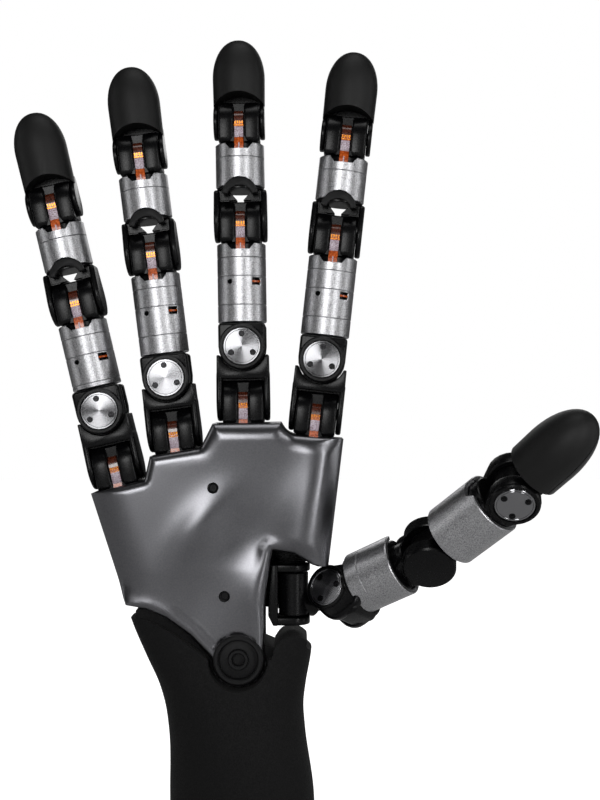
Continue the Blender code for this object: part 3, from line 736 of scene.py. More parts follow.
def nail_forms(top):
    """The back of the tip, with the two arms and the pin of its hinge."""
    body = tip_form(TIP_WIDTH, TIP_LOW, top, TIP_DOME, TIP_FLATNESS)
    behind = box((-12, 1.95, 2.6), (12, 14, top + 2), 0)
    shell = carve(body, behind, operation="INTERSECT")
    clearance = turned(disc_profile(BARREL + 0.45, -ARM_INNER, ARM_INNER, 0.05), "X", 64)
    forms = [carve(shell, clearance)]
    arm = band((0, 0, 5.6), (3.4, 7.4, 1.6))
    forms += [bar(arm, low, high, edge=0.5) for low, high in pair(ARM_INNER, ARM_OUTER - 0.3)]
    forms.append(cross_pin(8.2))
    return forms


for finger in FINGERS:
    end = finger_frames(finger)[3]
    low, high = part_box(f"{finger}_tip_pad")
    tip_top = (Vector((0, 0, high[2])) - Vector((0, 0, end.translation.z))).z / MM
    tip_top /= end.to_3x3().col[2].z
    finger_piece(finger, "pad", "tip", end, [pad_form(tip_top)], PAD, "tip_pad")
    finger_piece(finger, "nail", "tip", end, nail_forms(tip_top), ANODISED, "tip_shell")
print("index tip beyond its hinge:", round(tip_top, 1), "mm")

# %% [markdown]
# ## The palm plate
#
# The palm is one milled plate, and light runs over it like over a car's wing. Its outline is read
# from the frame's own plate, so both always agree. Inside it a triangulation carries a height:
# rounded at the edges, with a few soft hills and hollows. The side walls hang from its rim, and
# Solidify gives the whole shell its thickness.

# %% Read an outline from the frame


def outline_at(node, depth):
    """The closed outline, as (x, z) in millimetres, of a node's vertices at one depth in Y."""
    mesh = frame["nodes"][node].data
    owner = {}
    for v in mesh.vertices:
        if abs(v.co.y / MM - depth) < 0.02:
            owner[v.index] = (round(v.co.x / MM, 2), round(v.co.z / MM, 2))
    links = {}
    for edge in mesh.edges:
        a, b = edge.vertices
        if a in owner and b in owner and owner[a] != owner[b]:
            links.setdefault(owner[a], set()).add(owner[b])
            links.setdefault(owner[b], set()).add(owner[a])
    start = min(links)
    loop, previous = [start], None
    while True:
        ahead = [p for p in links[loop[-1]] if p != previous and len(links[p]) >= 2]
        previous = loop[-1]
        if not ahead or ahead[0] == start and len(loop) > 2:
            break
        step = ahead[0] if ahead[0] not in loop else ahead[-1]
        if step in loop:
            break
        loop.append(step)
    return [Vector(p) for p in loop]


def area(loop):
    """The area inside a loop, negative where it runs clockwise."""
    return sum(a.x * b.y - b.x * a.y for a, b in zip(loop, loop[1:] + loop[:1])) / 2


def softened(loop, spacing, corner=38):
    """The loop resampled on a smooth curve that keeps its real corners."""
    count = len(loop)
    turns = []
    for i, here in enumerate(loop):
        before, after = here - loop[i - 1], loop[(i + 1) % count] - here
        turns.append(degrees(before.angle(after)) > corner)
    points = []
    for i, here in enumerate(loop):
        after = loop[(i + 1) % count]
        before = here if turns[i] else loop[i - 1]
        beyond = after if turns[(i + 1) % count] else loop[(i + 2) % count]
        steps = max(1, int((after - here).length / spacing))
        for k in range(steps):
            t = k / steps
            points.append(
                0.5
                * (
                    2 * here
                    + (after - before) * t
                    + (2 * before - 5 * here + 4 * after - beyond) * t**2
                    + (3 * here - before - 3 * after + beyond) * t**3
                )
            )
    return points


def grown(loop, distance):
    """The loop moved outwards by a distance along the normals of its sides."""
    result = []
    for i, here in enumerate(loop):
        before = (here - loop[i - 1]).normalized()
        after = (loop[(i + 1) % len(loop)] - here).normalized()
        outward = (Vector((before.y, -before.x)) + Vector((after.y, -after.x))).normalized()
        stretch = max(outward.dot(Vector((after.y, -after.x))), 0.5)
        result.append(here + outward * distance / stretch)
    return result


# The frame's plate is whole, and drawn in by its rounding, just under its face
READ_DEPTH = -11.4
READ_INSET = 0.7
rim = outline_at("palm_plate", READ_DEPTH)
if area(rim) < 0:
    rim.reverse()
rim = grown(rim, READ_INSET)
print("palm outline:", len(rim), "corners,", round(area(rim) / 100, 1), "square centimetres")

# %% Heights of the plate
PIVOT = place_of("wrist_sideways").z / MM
BOSS = 9.2
PLATE_DEPTH = 13.0
EDGE_DROP = 2.2
EDGE_REACH = 2.8


def distances(points, loop):
    """How far each point is from every side of a loop, one column for each side."""
    starts = np.array([tuple(p) for p in loop])
    sides = np.roll(starts, -1, axis=0) - starts
    gaps = points[:, None, :] - starts[None]
    along = np.clip((gaps * sides[None]).sum(-1) / (sides**2).sum(-1)[None], 0, 1)
    return np.linalg.norm(gaps - along[..., None] * sides[None], axis=-1)


def smooth(value):
    """A soft step from 0 to 1."""
    value = np.clip(value, 0, 1)
    return value * value * (3 - 2 * value)


def rolled(away, span, drop):
    """How far a surface falls as it rolls over to an edge, on a quarter of an ellipse."""
    return drop * (1 - np.sqrt(1 - (1 - np.clip(away / span, 0, 1)) ** 2))


def hill(points, x, z, long, short, turn, height):
    """A soft oval hill, or a hollow where the height is negative."""
    c, s = cos(radians(turn)), sin(radians(turn))
    u = (points[:, 0] - x) * c + (points[:, 1] - z) * s
    v = -(points[:, 0] - x) * s + (points[:, 1] - z) * c
    return height * np.exp(-((u / long) ** 2) - (v / short) ** 2)


def flank(loop, side, above, beyond):
    """The numbers of a loop's sides that look left (-1) or right (1), above and beyond a place."""
    numbers = []
    for i, here in enumerate(loop):
        ahead = loop[(i + 1) % len(loop)]
        middle = (here + ahead) / 2
        outward = (ahead - here).normalized().y * side
        if outward > 0.9 and middle.y > above and middle.x * side > beyond:
            numbers.append(i)
    return numbers


low, high = (Vector(corner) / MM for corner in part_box("palm_plate"))
MIDDLE_X, BASE_Z = (low.x + high.x) / 2, low.z
# Each hill: how far right of the middle and above the base, its long and short reach, turn, height
PALM_HILLS = (
    (-6.3, 52.5, 14.0, 6.0, 51, 1.3),
    (10.9, 48.7, 11.0, 10.0, 40, -1.4),
    (17.2, 30.5, 10.0, 8.0, 60, 1.2),
    (30.6, 58.0, 32.0, 7.5, 76, 1.4),
    (13.2, 89.5, 26.0, 13.0, 0, 1.5),
    (-4.8, 30.5, 13.0, 9.0, 80, -0.8),
)
LEFT_FLANK = flank(rim, -1, 86.0, 33.0)
RIGHT_FLANK = flank(rim, 1, 96.0, 20.0)
print("flanks:", len(LEFT_FLANK), "sides on the left and", len(RIGHT_FLANK), "on the right")


def boss_seat(points):
    """The round seat that the plate leaves for the wrist pivot's ring."""
    away = np.hypot(points[:, 0], points[:, 1] - PIVOT)
    return 3.0 * smooth((BOSS - 1.4 - away) / 1.0)


def plate_depth(points, loop):
    """How far the plate's face stands out towards -Y at each point."""
    away = distances(points, loop)
    edge = away.min(axis=1)
    height = points[:, 1]
    drop = rolled(edge, EDGE_REACH, EDGE_DROP)
    left = rolled(away[:, LEFT_FLANK].min(axis=1), 13.0, 4.6) * smooth((height - 84) / 14)
    right = rolled(away[:, RIGHT_FLANK].min(axis=1), 12.0, 4.6)
    drop = np.maximum(drop, np.maximum(left, right))
    relief = sum(hill(points, MIDDLE_X + x, BASE_Z + z, *rest) for x, z, *rest in PALM_HILLS)
    fall = 0.035 * np.clip(100 - height, 0, 40) * smooth((edge - 1) / 5)
    return PLATE_DEPTH - drop + relief * smooth((edge - 0.5) / 5) - fall - boss_seat(points)


# %% The skin of the plate
EDGE_RINGS = (0.25, 0.6, 1.1, 1.8, 2.6, 3.5)
GRID = 1.1


def wall_from(x, z):
    """Where the side walls end: near the middle plane, or clear of the cuff's tongue."""
    return 10.15 if x < 12.5 and z < 91.5 else 0.3


def shell_form(loop, side, depth_of):
    """A sculpted skin over an outline, with its side walls; side -1 faces the palm."""
    rim_points = softened(loop, 0.9)
    corners = np.array([tuple(p) for p in rim_points])
    inner = []
    for inset in EDGE_RINGS:
        for i, here in enumerate(rim_points):
            tangent = (rim_points[(i + 1) % len(rim_points)] - rim_points[i - 1]).normalized()
            inner.append((*(here + Vector((-tangent.y, tangent.x)) * inset), inset))
    spots = np.array([p[:2] for p in inner])
    wanted = np.array([p[2] for p in inner])
    spots = spots[distances(spots, rim_points).min(axis=1) > wanted * 0.93]
    x_range = np.arange(corners[:, 0].min(), corners[:, 0].max(), GRID)
    z_range = np.arange(corners[:, 1].min(), corners[:, 1].max(), GRID)
    grid = np.array([(x, z) for x in x_range for z in z_range])
    grid = grid[distances(grid, rim_points).min(axis=1) > EDGE_RINGS[-1] + 0.6]
    every = np.vstack([corners, spots, grid])
    edges = [(i, (i + 1) % len(corners)) for i in range(len(corners))]
    verts, _, faces, *_ = delaunay_2d_cdt([Vector(p) for p in every], edges, [], 1, 1e-4)
    flat = np.array([tuple(v) for v in verts])
    depth = depth_of(flat, loop)
    bm = bmesh.new()
    points = [bm.verts.new((x, side * d, z)) for (x, z), d in zip(flat, depth)]
    for face in faces:
        bm.faces.new([points[i] for i in face])
    rim_edges = [e for e in bm.edges if e.is_boundary]
    walls = bmesh.ops.extrude_edge_only(bm, edges=rim_edges)["geom"]
    for v in (g for g in walls if isinstance(g, bmesh.types.BMVert)):
        v.co.y = side * wall_from(v.co.x, v.co.z)
    bmesh.ops.recalc_face_normals(bm, faces=bm.faces)
    outside = max(bm.faces, key=lambda f: abs(f.calc_center_median().y))
    if outside.normal.y * side < 0:
        bmesh.ops.reverse_faces(bm, faces=bm.faces)
    return bm


def solidified(form, thickness):
    """The form as a wall of a thickness, grown inwards."""
    work = as_object(form)
    step = work.modifiers.new("wall", "SOLIDIFY")
    step.thickness = thickness
    step.offset = -1
    result = evaluated_form(work)
    bpy.data.meshes.remove(work.data)
    return result


PLATE_WALL = 1.3
SCREW_HOLE = 1.9
HERE = Matrix.Identity(4)
plate = solidified(shell_form(rim, -1, plate_depth), PLATE_WALL)
PALM_SCREWS = ((MIDDLE_X - 1.1, BASE_Z + 65.5), (MIDDLE_X + 2.6, BASE_Z + 29.6))
plate = carve(plate, *[round_cutter(x, z, SCREW_HOLE) for x, z in PALM_SCREWS])
finish_piece("palm_relief_plate", "palm", HERE, [plate], SATIN, ["palm_plate"], sharp=50)
print("palm plate:", len(PIECES[-1].data.polygons), "faces")

# %% [markdown]
# The back of the hand is a plain black cover, gently domed, with the apron that closes the
# thumb's cut-out. It is made the same way, over the outline read from the palm plate.

# %% The back cover


def cover_depth(points, loop):
    """How far the cover's face stands out towards +Y at each point."""
    edge = distances(points, loop).min(axis=1)
    drop = rolled(edge, EDGE_REACH, EDGE_DROP - 0.4)
    return PLATE_DEPTH - 0.5 - drop + 0.9 * smooth((edge - 3) / 26)


back = [solidified(shell_form(rim, 1, cover_depth), PLATE_WALL)]
apron = [(53.3, 85.0), (62.3, 83.6), (70.8, 88.0), (70.8, 98.5)]
apron += [(74.3, 104.5), (76.9, 112.0), (53.3, 112.0)]
apron = [(low.x + x, z) for x, z in apron]
back.append(bar(apron, PLATE_DEPTH - 2.1, PLATE_DEPTH - 0.6, "Y", edge=0.4))
finish_piece("back_cover_skin", "palm", HERE, back, ANODISED, ["palm_back_cover"], sharp=50)
print("back cover:", len(PIECES[-1].data.polygons), "faces")

# %% [markdown]
# ## The cuff
#
# The cuff is a printed shell: round where it meets the forearm, wide and flat where it holds the
# palm. It is a skin over a few sections with smooth curves between them. Then it is cut to the
# line of its shoulders, and a pocket on each face lets the palm's narrow end swing.

# %% The cuff's skin
# Height, centre in X, half width, half depth and squareness of each section (mm)
CUFF_SECTIONS = (
    (0.0, 0.7, 24.5, 21.0, 2.0),
    (24.0, 0.7, 24.4, 20.8, 2.0),
    (46.0, -1.0, 23.1, 19.4, 2.1),
    (53.7, -1.8, 23.4, 18.2, 2.2),
    (61.0, -2.4, 24.8, 16.8, 2.5),
    (70.7, -3.7, 27.8, 14.8, 3.0),
    (80.6, -5.4, 30.3, 13.5, 3.5),
    (90.0, -7.0, 32.0, 13.2, 3.5),
)


def section_at(height):
    """The section's sizes at a height, on smooth curves through the given ones."""
    table = np.array(CUFF_SECTIONS)
    slopes = np.gradient(table[:, 1:], table[:, 0], axis=0)
    i = int(np.clip(np.searchsorted(table[:, 0], height) - 1, 0, len(table) - 2))
    span = table[i + 1, 0] - table[i, 0]
    t = (height - table[i, 0]) / span
    a, b = table[i, 1:], table[i + 1, 1:]
    start, end = slopes[i] * span, slopes[i + 1] * span
    return (
        (2 * t**3 - 3 * t**2 + 1) * a
        + (t**3 - 2 * t**2 + t) * start
        + (3 * t**2 - 2 * t**3) * b
        + (t**3 - t**2) * end
    )


def cuff_ring(height, count=112):
    """The cuff's outline at a height: an oval that is squarer where the palm enters."""
    centre, width, depth, power = section_at(height)
    ring = []
    for i in range(count):
        c, s = cos(2 * pi * i / count), sin(2 * pi * i / count)
        x = centre + width * abs(c) ** (2 / power) * (1 if c > 0 else -1)
        y = depth * abs(s) ** (2 / power) * (1 if s > 0 else -1)
        ring.append((x, y, height))
    return ring


def rounded_path(points, spacing=1.2):
    """Points joined by a smooth curve, except where the turn is a real corner."""
    return [tuple(p) for p in softened([Vector(p) for p in points], spacing, corner=50)]


# Everything inside these outlines is cut away: above the shoulders, and for the palm's narrow end
SHOULDERS = [(-60.0, 83.2), (-34.2, 83.2), (-34.2, 86.4), (-20.0, 88.0), (8.0, 88.0), (8.0, 75.4)]
SHOULDERS += [(11.8, 73.8), (14.2, 77.0), (18.4, 78.2), (22.6, 76.4), (26.0, 72.0)]
SHOULDERS += [(60.0, 66.0), (60.0, 120.0), (-60.0, 120.0)]
POCKET_RADIUS = BOSS * 1.09
POCKET = [(-46.0, 84.6), (-38.4, 84.3), (-31.9, 83.5), (-25.2, 81.1), (-16.9, 76.0)]
for turn in np.linspace(pi, 2 * pi, 16):
    POCKET.append((POCKET_RADIUS * cos(turn), PIVOT + POCKET_RADIUS * sin(turn)))
POCKET += [(11.9, 76.0), (11.9, 120.0), (-46.0, 120.0)]
TONGUE = 9.8
heights = np.concatenate([[0.0, 0.25, 0.8], np.linspace(2.0, 90.0, 60)])
cuff = skin([cuff_ring(h) for h in heights])
shoulder_cut = bar(rounded_path(SHOULDERS), -40, 40, "Y", edge=0)
front_pocket = bar(rounded_path(POCKET), -40, -TONGUE, "Y", edge=0)
back_pocket = bar(rounded_path(POCKET), TONGUE, 40, "Y", edge=0)
bore = turned(disc_profile(4.2, -40, 40, 0.1), "Y", 48)
bmesh.ops.translate(bore, verts=bore.verts, vec=(0, 0, PIVOT))
cuff = carve(cuff, shoulder_cut, front_pocket, back_pocket, bore)
finish_piece("cuff_shell", "cuff", HERE, [cuff], NYLON, ["wrist_cuff"], sharp=38)
print("cuff:", len(PIECES[-1].data.polygons), "faces")

# %% [markdown]
# ## The wrist pivot
#
# The pin of the wrist shows as a stepped boss: a raised ring, a recess, and a hub with a hole.
# Behind the hand its other end is a plain button. All of it is one lathe profile.

# %% The wrist boss
front = -PLATE_DEPTH
# From the hole outwards: the hub, the recess and the raised ring; then the plain button behind
boss = [(0.02, 2.2), (2.1, 2.2), (2.1, -0.2), (2.4, -0.5), (3.1, -0.5), (3.4, -0.2), (3.5, 1.0)]
boss += [(6.3, 1.3), (6.5, -0.9), (6.9, -1.4), (7.7, -1.4), (8.3, -0.9), (8.5, 1.6), (4.0, 1.8)]
boss = [(radius, front + height) for radius, height in boss]
button = [(4.0, 0), (7.6, 0.3), (7.8, 1.1), (7.3, 1.5), (0.02, 1.5)]
boss += [(radius, -front + height) for radius, height in button]
wrist = Matrix.Translation(place_of("wrist_sideways"))
finish_piece(
    "wrist_boss", "palm", wrist, [turned(boss, "Y", 80)], BLASTED_BLACK, ["wrist_pivot"], sharp=30
)
print("wrist boss:", len(PIECES[-1].data.polygons), "faces")

# %% [markdown]
# ## The thumb
#
# The thumb is the same construction at a larger size, laid across the palm. Its base link turns
# on an upright pin, a tilted hinge lifts it, and two more hinges bend it. The elbow is the one
# free form: a smooth black body that swells under its tube.

# %% Frames of the thumb
THUMB_TUBE = 10.4
THUMB_BORE = 9.0
THUMB_CORE = 8.7
TIP_BEND = 4.5
lift = place_of("thumb_lift")
knuckle_spot = place_of("thumb_bend")
end_spot = place_of("thumb_end_bend")
bend_axis = axis_of("thumb_bend")
# The lift hinge isn't square to the tube: the tube's own frame keeps Z on the tube's line
tube_line = (knuckle_spot - lift).normalized()
side_axis = -axis_of("thumb_lift")
side_axis = (side_axis - tube_line * side_axis.dot(tube_line)).normalized()
carpal_frame = frame_between(lift, side_axis, knuckle_spot)
housing_frame = frame_between(knuckle_spot, bend_axis, knuckle_spot + tube_line)
proximal_frame = frame_between(knuckle_spot, bend_axis, end_spot)
end_frame = frame_between(end_spot, bend_axis, end_spot + (end_spot - knuckle_spot))
end_frame = end_frame @ Matrix.Rotation(radians(TIP_BEND), 4, "X")
THUMB_REACH = (knuckle_spot - lift).length / MM
PROXIMAL_REACH = (end_spot - knuckle_spot).length / MM
print("thumb:", round(THUMB_REACH, 1), "and", round(PROXIMAL_REACH, 1), "mm between hinges")

# %% The thumb's base and bracket


def thumb_base_forms():
    """The upright barrel, the eye of the tilted hinge and the arm between them."""
    upright = place_of("thumb_swing") / MM
    barrel = turned(disc_profile(5.0, -8.4, 6.2, 0.4), segments=48)
    pin = turned(disc_profile(PIN_RADIUS, -11.2, 8.8, 0.2), segments=24)
    for form in (barrel, pin):
        bmesh.ops.translate(form, verts=form.verts, vec=upright)
    hinge = carpal_frame.to_3x3()
    centre = lift / MM
    eye = turned(disc_profile(6.4, -3.1, 3.1, 0.4), "X", 48)
    bmesh.ops.transform(eye, matrix=Matrix.Translation(centre) @ hinge.to_4x4(), verts=eye.verts)
    heel = centre - hinge.col[2] * 10.5
    forms = [barrel, pin, eye]
    for start, finish, radius in (
        (centre, heel, 2.9),
        (upright + Vector((1.0, 0, -3.8)), heel + Vector((0.6, 0.2, 0.0)), 4.2),
    ):
        rod = turned(disc_profile(radius, 0, (finish - start).length, 0.6), segments=32)
        turn = Vector((0, 0, 1)).rotation_difference(finish - start).to_matrix().to_4x4()
        bmesh.ops.transform(rod, matrix=Matrix.Translation(start) @ turn, verts=rod.verts)
        forms.append(rod)
    return forms


def bracket_forms():
    """A plate on the palm's edge with two round lugs for the upright pin."""
    x, _, z = place_of("thumb_swing") / MM
    side = [(-8.5, -8.0), (-8.5, -3.6), (-7.3, 9.0), (-5.3, 9.0), (-5.3, -11.4), (-6.8, -11.4)]
    forms = [bar([(x + u, z + v) for u, v in side], -6, 6, "Y", edge=0.3)]
    for low_z, high_z in ((z - 11.4, z - 8.8), (z + 6.6, z + 9.0)):
        lug = band((x, 0, 5.6), (x - 5.0, -4.4, 1.0), (x - 5.0, 4.4, 1.0))
        forms.append(bar(lug, low_z, high_z, "Z", edge=0.4))
    return forms


finish_piece("thumb_base_link", "thumb_base", HERE, thumb_base_forms(), ANODISED, ["thumb_base"])
finish_piece("thumb_pivot_bracket", "palm", HERE, bracket_forms(), ANODISED, ["thumb_bracket"])
print("thumb base and bracket done")

# %% The elbow and the metacarpal tube


def elbow_forms():
    """Two cheeks, the swell behind them and the core of the tube."""
    cheek = band((0, 0, 7.6), (5.2, 2.2, 6.6), (6.4, 7.6, 4.0), (-4.0, 6.6, 2.0))
    swell = band((9.2, 1.6, 2.1), (9.0, 7.0, 2.6), (7.6, 8.4, 1.6))
    forms = [
        bar(cheek, 3.4, 7.5, edge=1.5, segments=5),
        bar(cheek, -7.5, -3.4, edge=1.5, segments=5),
        bar(swell, -6.6, 6.6, edge=1.4, segments=5),
        turned(disc_profile(9.3, 7.3, 8.9, 0.5), segments=64),
        turned(disc_profile(THUMB_CORE, 7.6, 25.6, 0.4), segments=48),
    ]
    ring = [(6.75, 8.0), (6.75, 7.2), (7.6, 7.2), (7.6, 7.7), (7.3, 8.0)]
    forms.append(turned(ring, "X", 56, ring=True))
    return forms


def thumb_first_tube():
    """The metacarpal tube, with a notch in its upper rim."""
    body = tube(THUMB_TUBE, THUMB_BORE, 9.0, 25.9, [14.2])
    notch = bar([(-4.6, 22.0), (4.6, 22.0), (5.4, 28.0), (-5.4, 28.0)], -14, -5, "Y", edge=0)
    return carve(body, notch)


METACARPAL = "thumb_metacarpal"
finish_piece("thumb_elbow_body", METACARPAL, carpal_frame, elbow_forms(), ANODISED, ["thumb_elbow"])
first_tube = [thumb_first_tube()]
finish_piece("thumb_first_tube", METACARPAL, carpal_frame, first_tube, DRAWN, [f"{METACARPAL}_tube"], 25)
print("elbow and first tube done")

# %% The knuckle housing, the second tube and its clevis


def housing_forms():
    """Two round drums with plain domed ends, on a neck that goes into the tube."""
    drum = [(0.02, 3.4), (8.4, 3.4), (8.7, 3.7), (8.7, 7.6), (8.2, 8.2), (7.6, 8.35), (0.02, 8.5)]
    neck = band((0, -2.0, 5.2), (0, -7.0, 5.6))
    forms = []
    for side, (low, high) in zip((-1, 1), pair(3.4, 7.0)):
        forms.append(turned([(r, side * h) for r, h in drum], "X", 64))
        forms.append(bar(neck, low, high, edge=0.6))
    forms.append(turned(disc_profile(6.6, -11.0, -7.2, 0.4), segments=40))
    forms.append(cross_pin(5))
    return forms


def thumb_link_forms():
    """The tongue in the housing, the core of the tube and the clevis of the end hinge."""
    far = PROXIMAL_REACH
    forms = [
        bar(band((0, 0, 6.4), (-3.6, 9.6, 1.4), (3.6, 9.6, 1.4)), -3.1, 3.1, edge=0.4),
        turned(disc_profile(THUMB_CORE, 9.2, far - 7.0, 0.3), segments=48),
    ]
    cheek = band((0, far, 8.2), (-4.0, far - 6.6, 1.8), (4.0, far - 6.6, 1.8))
    forms.append(bar(cheek, 3.4, 8.1, edge=0.8))
    forms.append(bar(cheek, -8.1, -3.4, edge=0.8))
    ring = [(6.7, 8.7), (6.7, 7.8), (8.0, 7.8), (8.0, 8.2), (7.6, 8.7)]
    raised = turned(ring, "X", 56, ring=True)
    bmesh.ops.translate(raised, verts=raised.verts, vec=(0, 0, far))
    forms.append(raised)
    return forms


def thumb_second_tube():
    """The proximal tube, with the slot of its flex circuit."""
    top = PROXIMAL_REACH - 8.6
    body = tube(THUMB_TUBE, THUMB_BORE, 9.9, top, [])
    return carve(body, cable_slot(top, 4.2, 2.6))


HOUSING = ["thumb_knuckle_housing"]
finish_piece("thumb_knuckle_drums", METACARPAL, housing_frame, housing_forms(), ANODISED, HOUSING)
PROXIMAL = "thumb_proximal"
finish_piece("thumb_link", PROXIMAL, proximal_frame, thumb_link_forms(), ANODISED, [f"{PROXIMAL}_link"])
second_tube = [thumb_second_tube()]
finish_piece("thumb_second_tube", PROXIMAL, proximal_frame, second_tube, DRAWN, [f"{PROXIMAL}_tube"], 25)
print("housing, link and second tube done")

# %% The thumb's tip
THUMB_TIP_TOP = 35.4


def thumb_tip_part(front, back):
    """The part of the thumb's tip between two depths in Y."""
    body = tip_form(9.9, 2.0, THUMB_TIP_TOP, 17.5, 0.94)
    return carve(body, box((-14, front, 9.4), (14, back, 42), 0), operation="INTERSECT")


def thumb_nail_forms():
    """The nail side, with the tongue that carries the tip."""
    shell = thumb_tip_part(4.7, 16)
    tongue = band((0, 0, 6.4), (3.6, 8.4, 1.6), (5.6, 10.0, 1.6))
    return [shell, bar(tongue, -3.05, 3.05, edge=0.4)]


thumb_pad = [thumb_tip_part(-16, 4.4)]
finish_piece("thumb_pad", "thumb_tip", end_frame, thumb_pad, PAD, ["thumb_tip_pad"])
finish_piece("thumb_nail", "thumb_tip", end_frame, thumb_nail_forms(), ANODISED, ["thumb_tip_shell"])
print("thumb tip done;", len(PIECES), "pieces so far")

# %% [markdown]
# ## Caps and their screws
#
# Each finger's sideways hinge and two of the thumb's end in a faced aluminium cap, held by three
# small socket screws. The cap
# is a lathe profile whose UV map says which way the tool ran. The screws repeat, so Geometry
# Nodes put them on a circle: one tree, with the number of screws and the circle's radius as
# named inputs.

# %% A Geometry Nodes helper


def new_tree(name, inputs):
    """A geometry tree with named inputs, each given as (name, socket type, default)."""
    tree = bpy.data.node_groups.new(name, "GeometryNodeTree")
    tree.interface.new_socket("Geometry", in_out="INPUT", socket_type="NodeSocketGeometry")
    tree.interface.new_socket("Geometry", in_out="OUTPUT", socket_type="NodeSocketGeometry")
    for label, kind, default in inputs:
        socket = tree.interface.new_socket(label, in_out="INPUT", socket_type=kind)
        if default is not None:
            socket.default_value = default
    entry = tree.nodes.new("NodeGroupInput")
    leave = tree.nodes.new("NodeGroupOutput")
    return tree, entry.outputs, leave.inputs["Geometry"]


def lay_out(tree, given, leave, points, shape):
    """End a tree: the shape on every point, as real mesh in the given material."""
    spread = add(tree, "GeometryNodeInstanceOnPoints", Points=points, Instance=shape)
    real = add(tree, "GeometryNodeRealizeInstances", Geometry=spread.outputs["Instances"])
    mesh = real.outputs["Geometry"]
    paint = add(tree, "GeometryNodeSetMaterial", Geometry=mesh, Material=given["Material"])
    tree.links.new(paint.outputs["Geometry"], leave)


def run_tree(tree, values):
    """The form that a tree makes for these inputs, which are set by their identifiers."""
    host = as_object(bmesh.new(), "host")
    step = host.modifiers.new(tree.name, "NODES")
    step.node_group = tree
    for item in tree.interface.items_tree:
        if item.in_out == "INPUT" and item.name in values:
            step[item.identifier] = values[item.name]
    result = evaluated_form(host)
    bpy.data.meshes.remove(host.data)
    return result


# %% The screw circle


def screw_circle_tree():
    """Socket screws on a circle: each is a round head with a six-sided peg for its socket."""
    tree, given, leave = new_tree(
        "screw_circle",
        (
            ("Count", "NodeSocketInt", 3),
            ("Circle Radius", "NodeSocketFloat", 4.2),
            ("Head Radius", "NodeSocketFloat", 1.05),
            ("Material", "NodeSocketMaterial", None),
        ),
    )
    circle = add(tree, "GeometryNodeMeshCircle", Vertices=given["Count"], Radius=given["Circle Radius"])
    flat = {"Vertices": 14, "Depth": 0.34}
    head = add(tree, "GeometryNodeMeshCylinder", flat, Radius=given["Head Radius"])
    inner = add(tree, "ShaderNodeMath", {"operation": "MULTIPLY"}, i0=given["Head Radius"])
    inner.inputs[1].default_value = 0.52
    six_sided = {"Vertices": 6, "Depth": 0.62}
    socket = add(tree, "GeometryNodeMeshCylinder", six_sided, Radius=inner.outputs[0])
    both = add(tree, "GeometryNodeJoinGeometry")
    for node in (head, socket):
        tree.links.new(node.outputs["Mesh"], both.inputs["Geometry"])
    lay_out(tree, given, leave, circle.outputs["Mesh"], both.outputs["Geometry"])
    return tree


SCREW_CIRCLE = screw_circle_tree()
print("screw circle inputs:", [i.name for i in SCREW_CIRCLE.interface.items_tree if i.in_out == "INPUT"])

# %% Caps with a turning map


def cap_form(radius, low, high):
    """A faced disc, with a fine groove near its edge and a very flat cone on its face."""
    profile = [
        (0.02, low),
        (radius - 0.2, low),
        (radius, low + 0.2),
        (radius, high - 0.25),
        (radius - 0.25, high),
        (radius - 0.7, high),
        (radius - 0.8, high - 0.1),
        (radius - 0.9, high),
        (radius * 0.5, high + 0.03),
        (0.02, high + 0.06),
    ]
    bm = turned(profile, "Z", 96)
    uv = bm.loops.layers.uv.new("turning")
    for face in bm.faces:
        middle = face.calc_center_median()
        home = np.arctan2(middle.y, middle.x)
        for loop in face.loops:
            spot = loop.vert.co
            angle = np.arctan2(spot.y, spot.x)
            angle = home + (angle - home + pi) % (2 * pi) - pi
            loop[uv].uv = (angle / (2 * pi) + 0.5, spot.xy.length / radius)
    return bm


def facing(place, direction):
    """The place turned so that its Z looks along a direction of its own axes."""
    turn = Vector((0, 0, 1)).rotation_difference(Vector(direction)).to_matrix().to_4x4()
    return place @ turn


def capped_hinge(name, body, place, direction, radius, low, high, circle, first):
    """A cap with its three screws; first is the angle of the first screw, in degrees."""
    spot = facing(place, direction)
    finish_piece(f"{name}_cap_face", body, spot, [cap_form(radius, low, high)], FACED, [f"{name}_cap"], 30)
    values = {"Count": 3, "Circle Radius": circle, "Head Radius": radius * 0.165, "Material": OXIDE}
    screws = run_tree(SCREW_CIRCLE, values)
    seat = Matrix.Translation((0, 0, high * MM)) @ Matrix.Rotation(radians(first), 4, "Z")
    finish_piece(f"{name}_cap_screws", body, spot @ seat, [screws], OXIDE, sharp=30)


for finger in FINGERS:
    swing = finger_frames(finger)[1]
    capped_hinge(f"{finger}_knuckle", f"{finger}_proximal", swing, (0, -1, 0), 6.3, 7.6, 8.7, 4.2, 90)
capped_hinge("thumb_base", "thumb_metacarpal", carpal_frame, (1, 0, 0), 6.5, 6.9, 8.0, 4.3, 50)
capped_hinge("thumb_tip", "thumb_tip", end_frame, (1, 0, 0), 6.4, 7.5, 8.6, 4.3, 30)
print("six caps with three screws each")

# %% [markdown]
# ## Flex circuits
#
# Power and signals pass every joint on a strip of amber film. Each strip climbs out of the slot
# in a tube, lies in the block's slot and dives into the dark. It carries a printed patch, a row
# of gold fingers and a brown stretch that can bend. The film is a thin bar along its route; the
# gold fingers repeat, so a tree lays them in a row, and lays the single bars beside them too.

# %% The row of bars


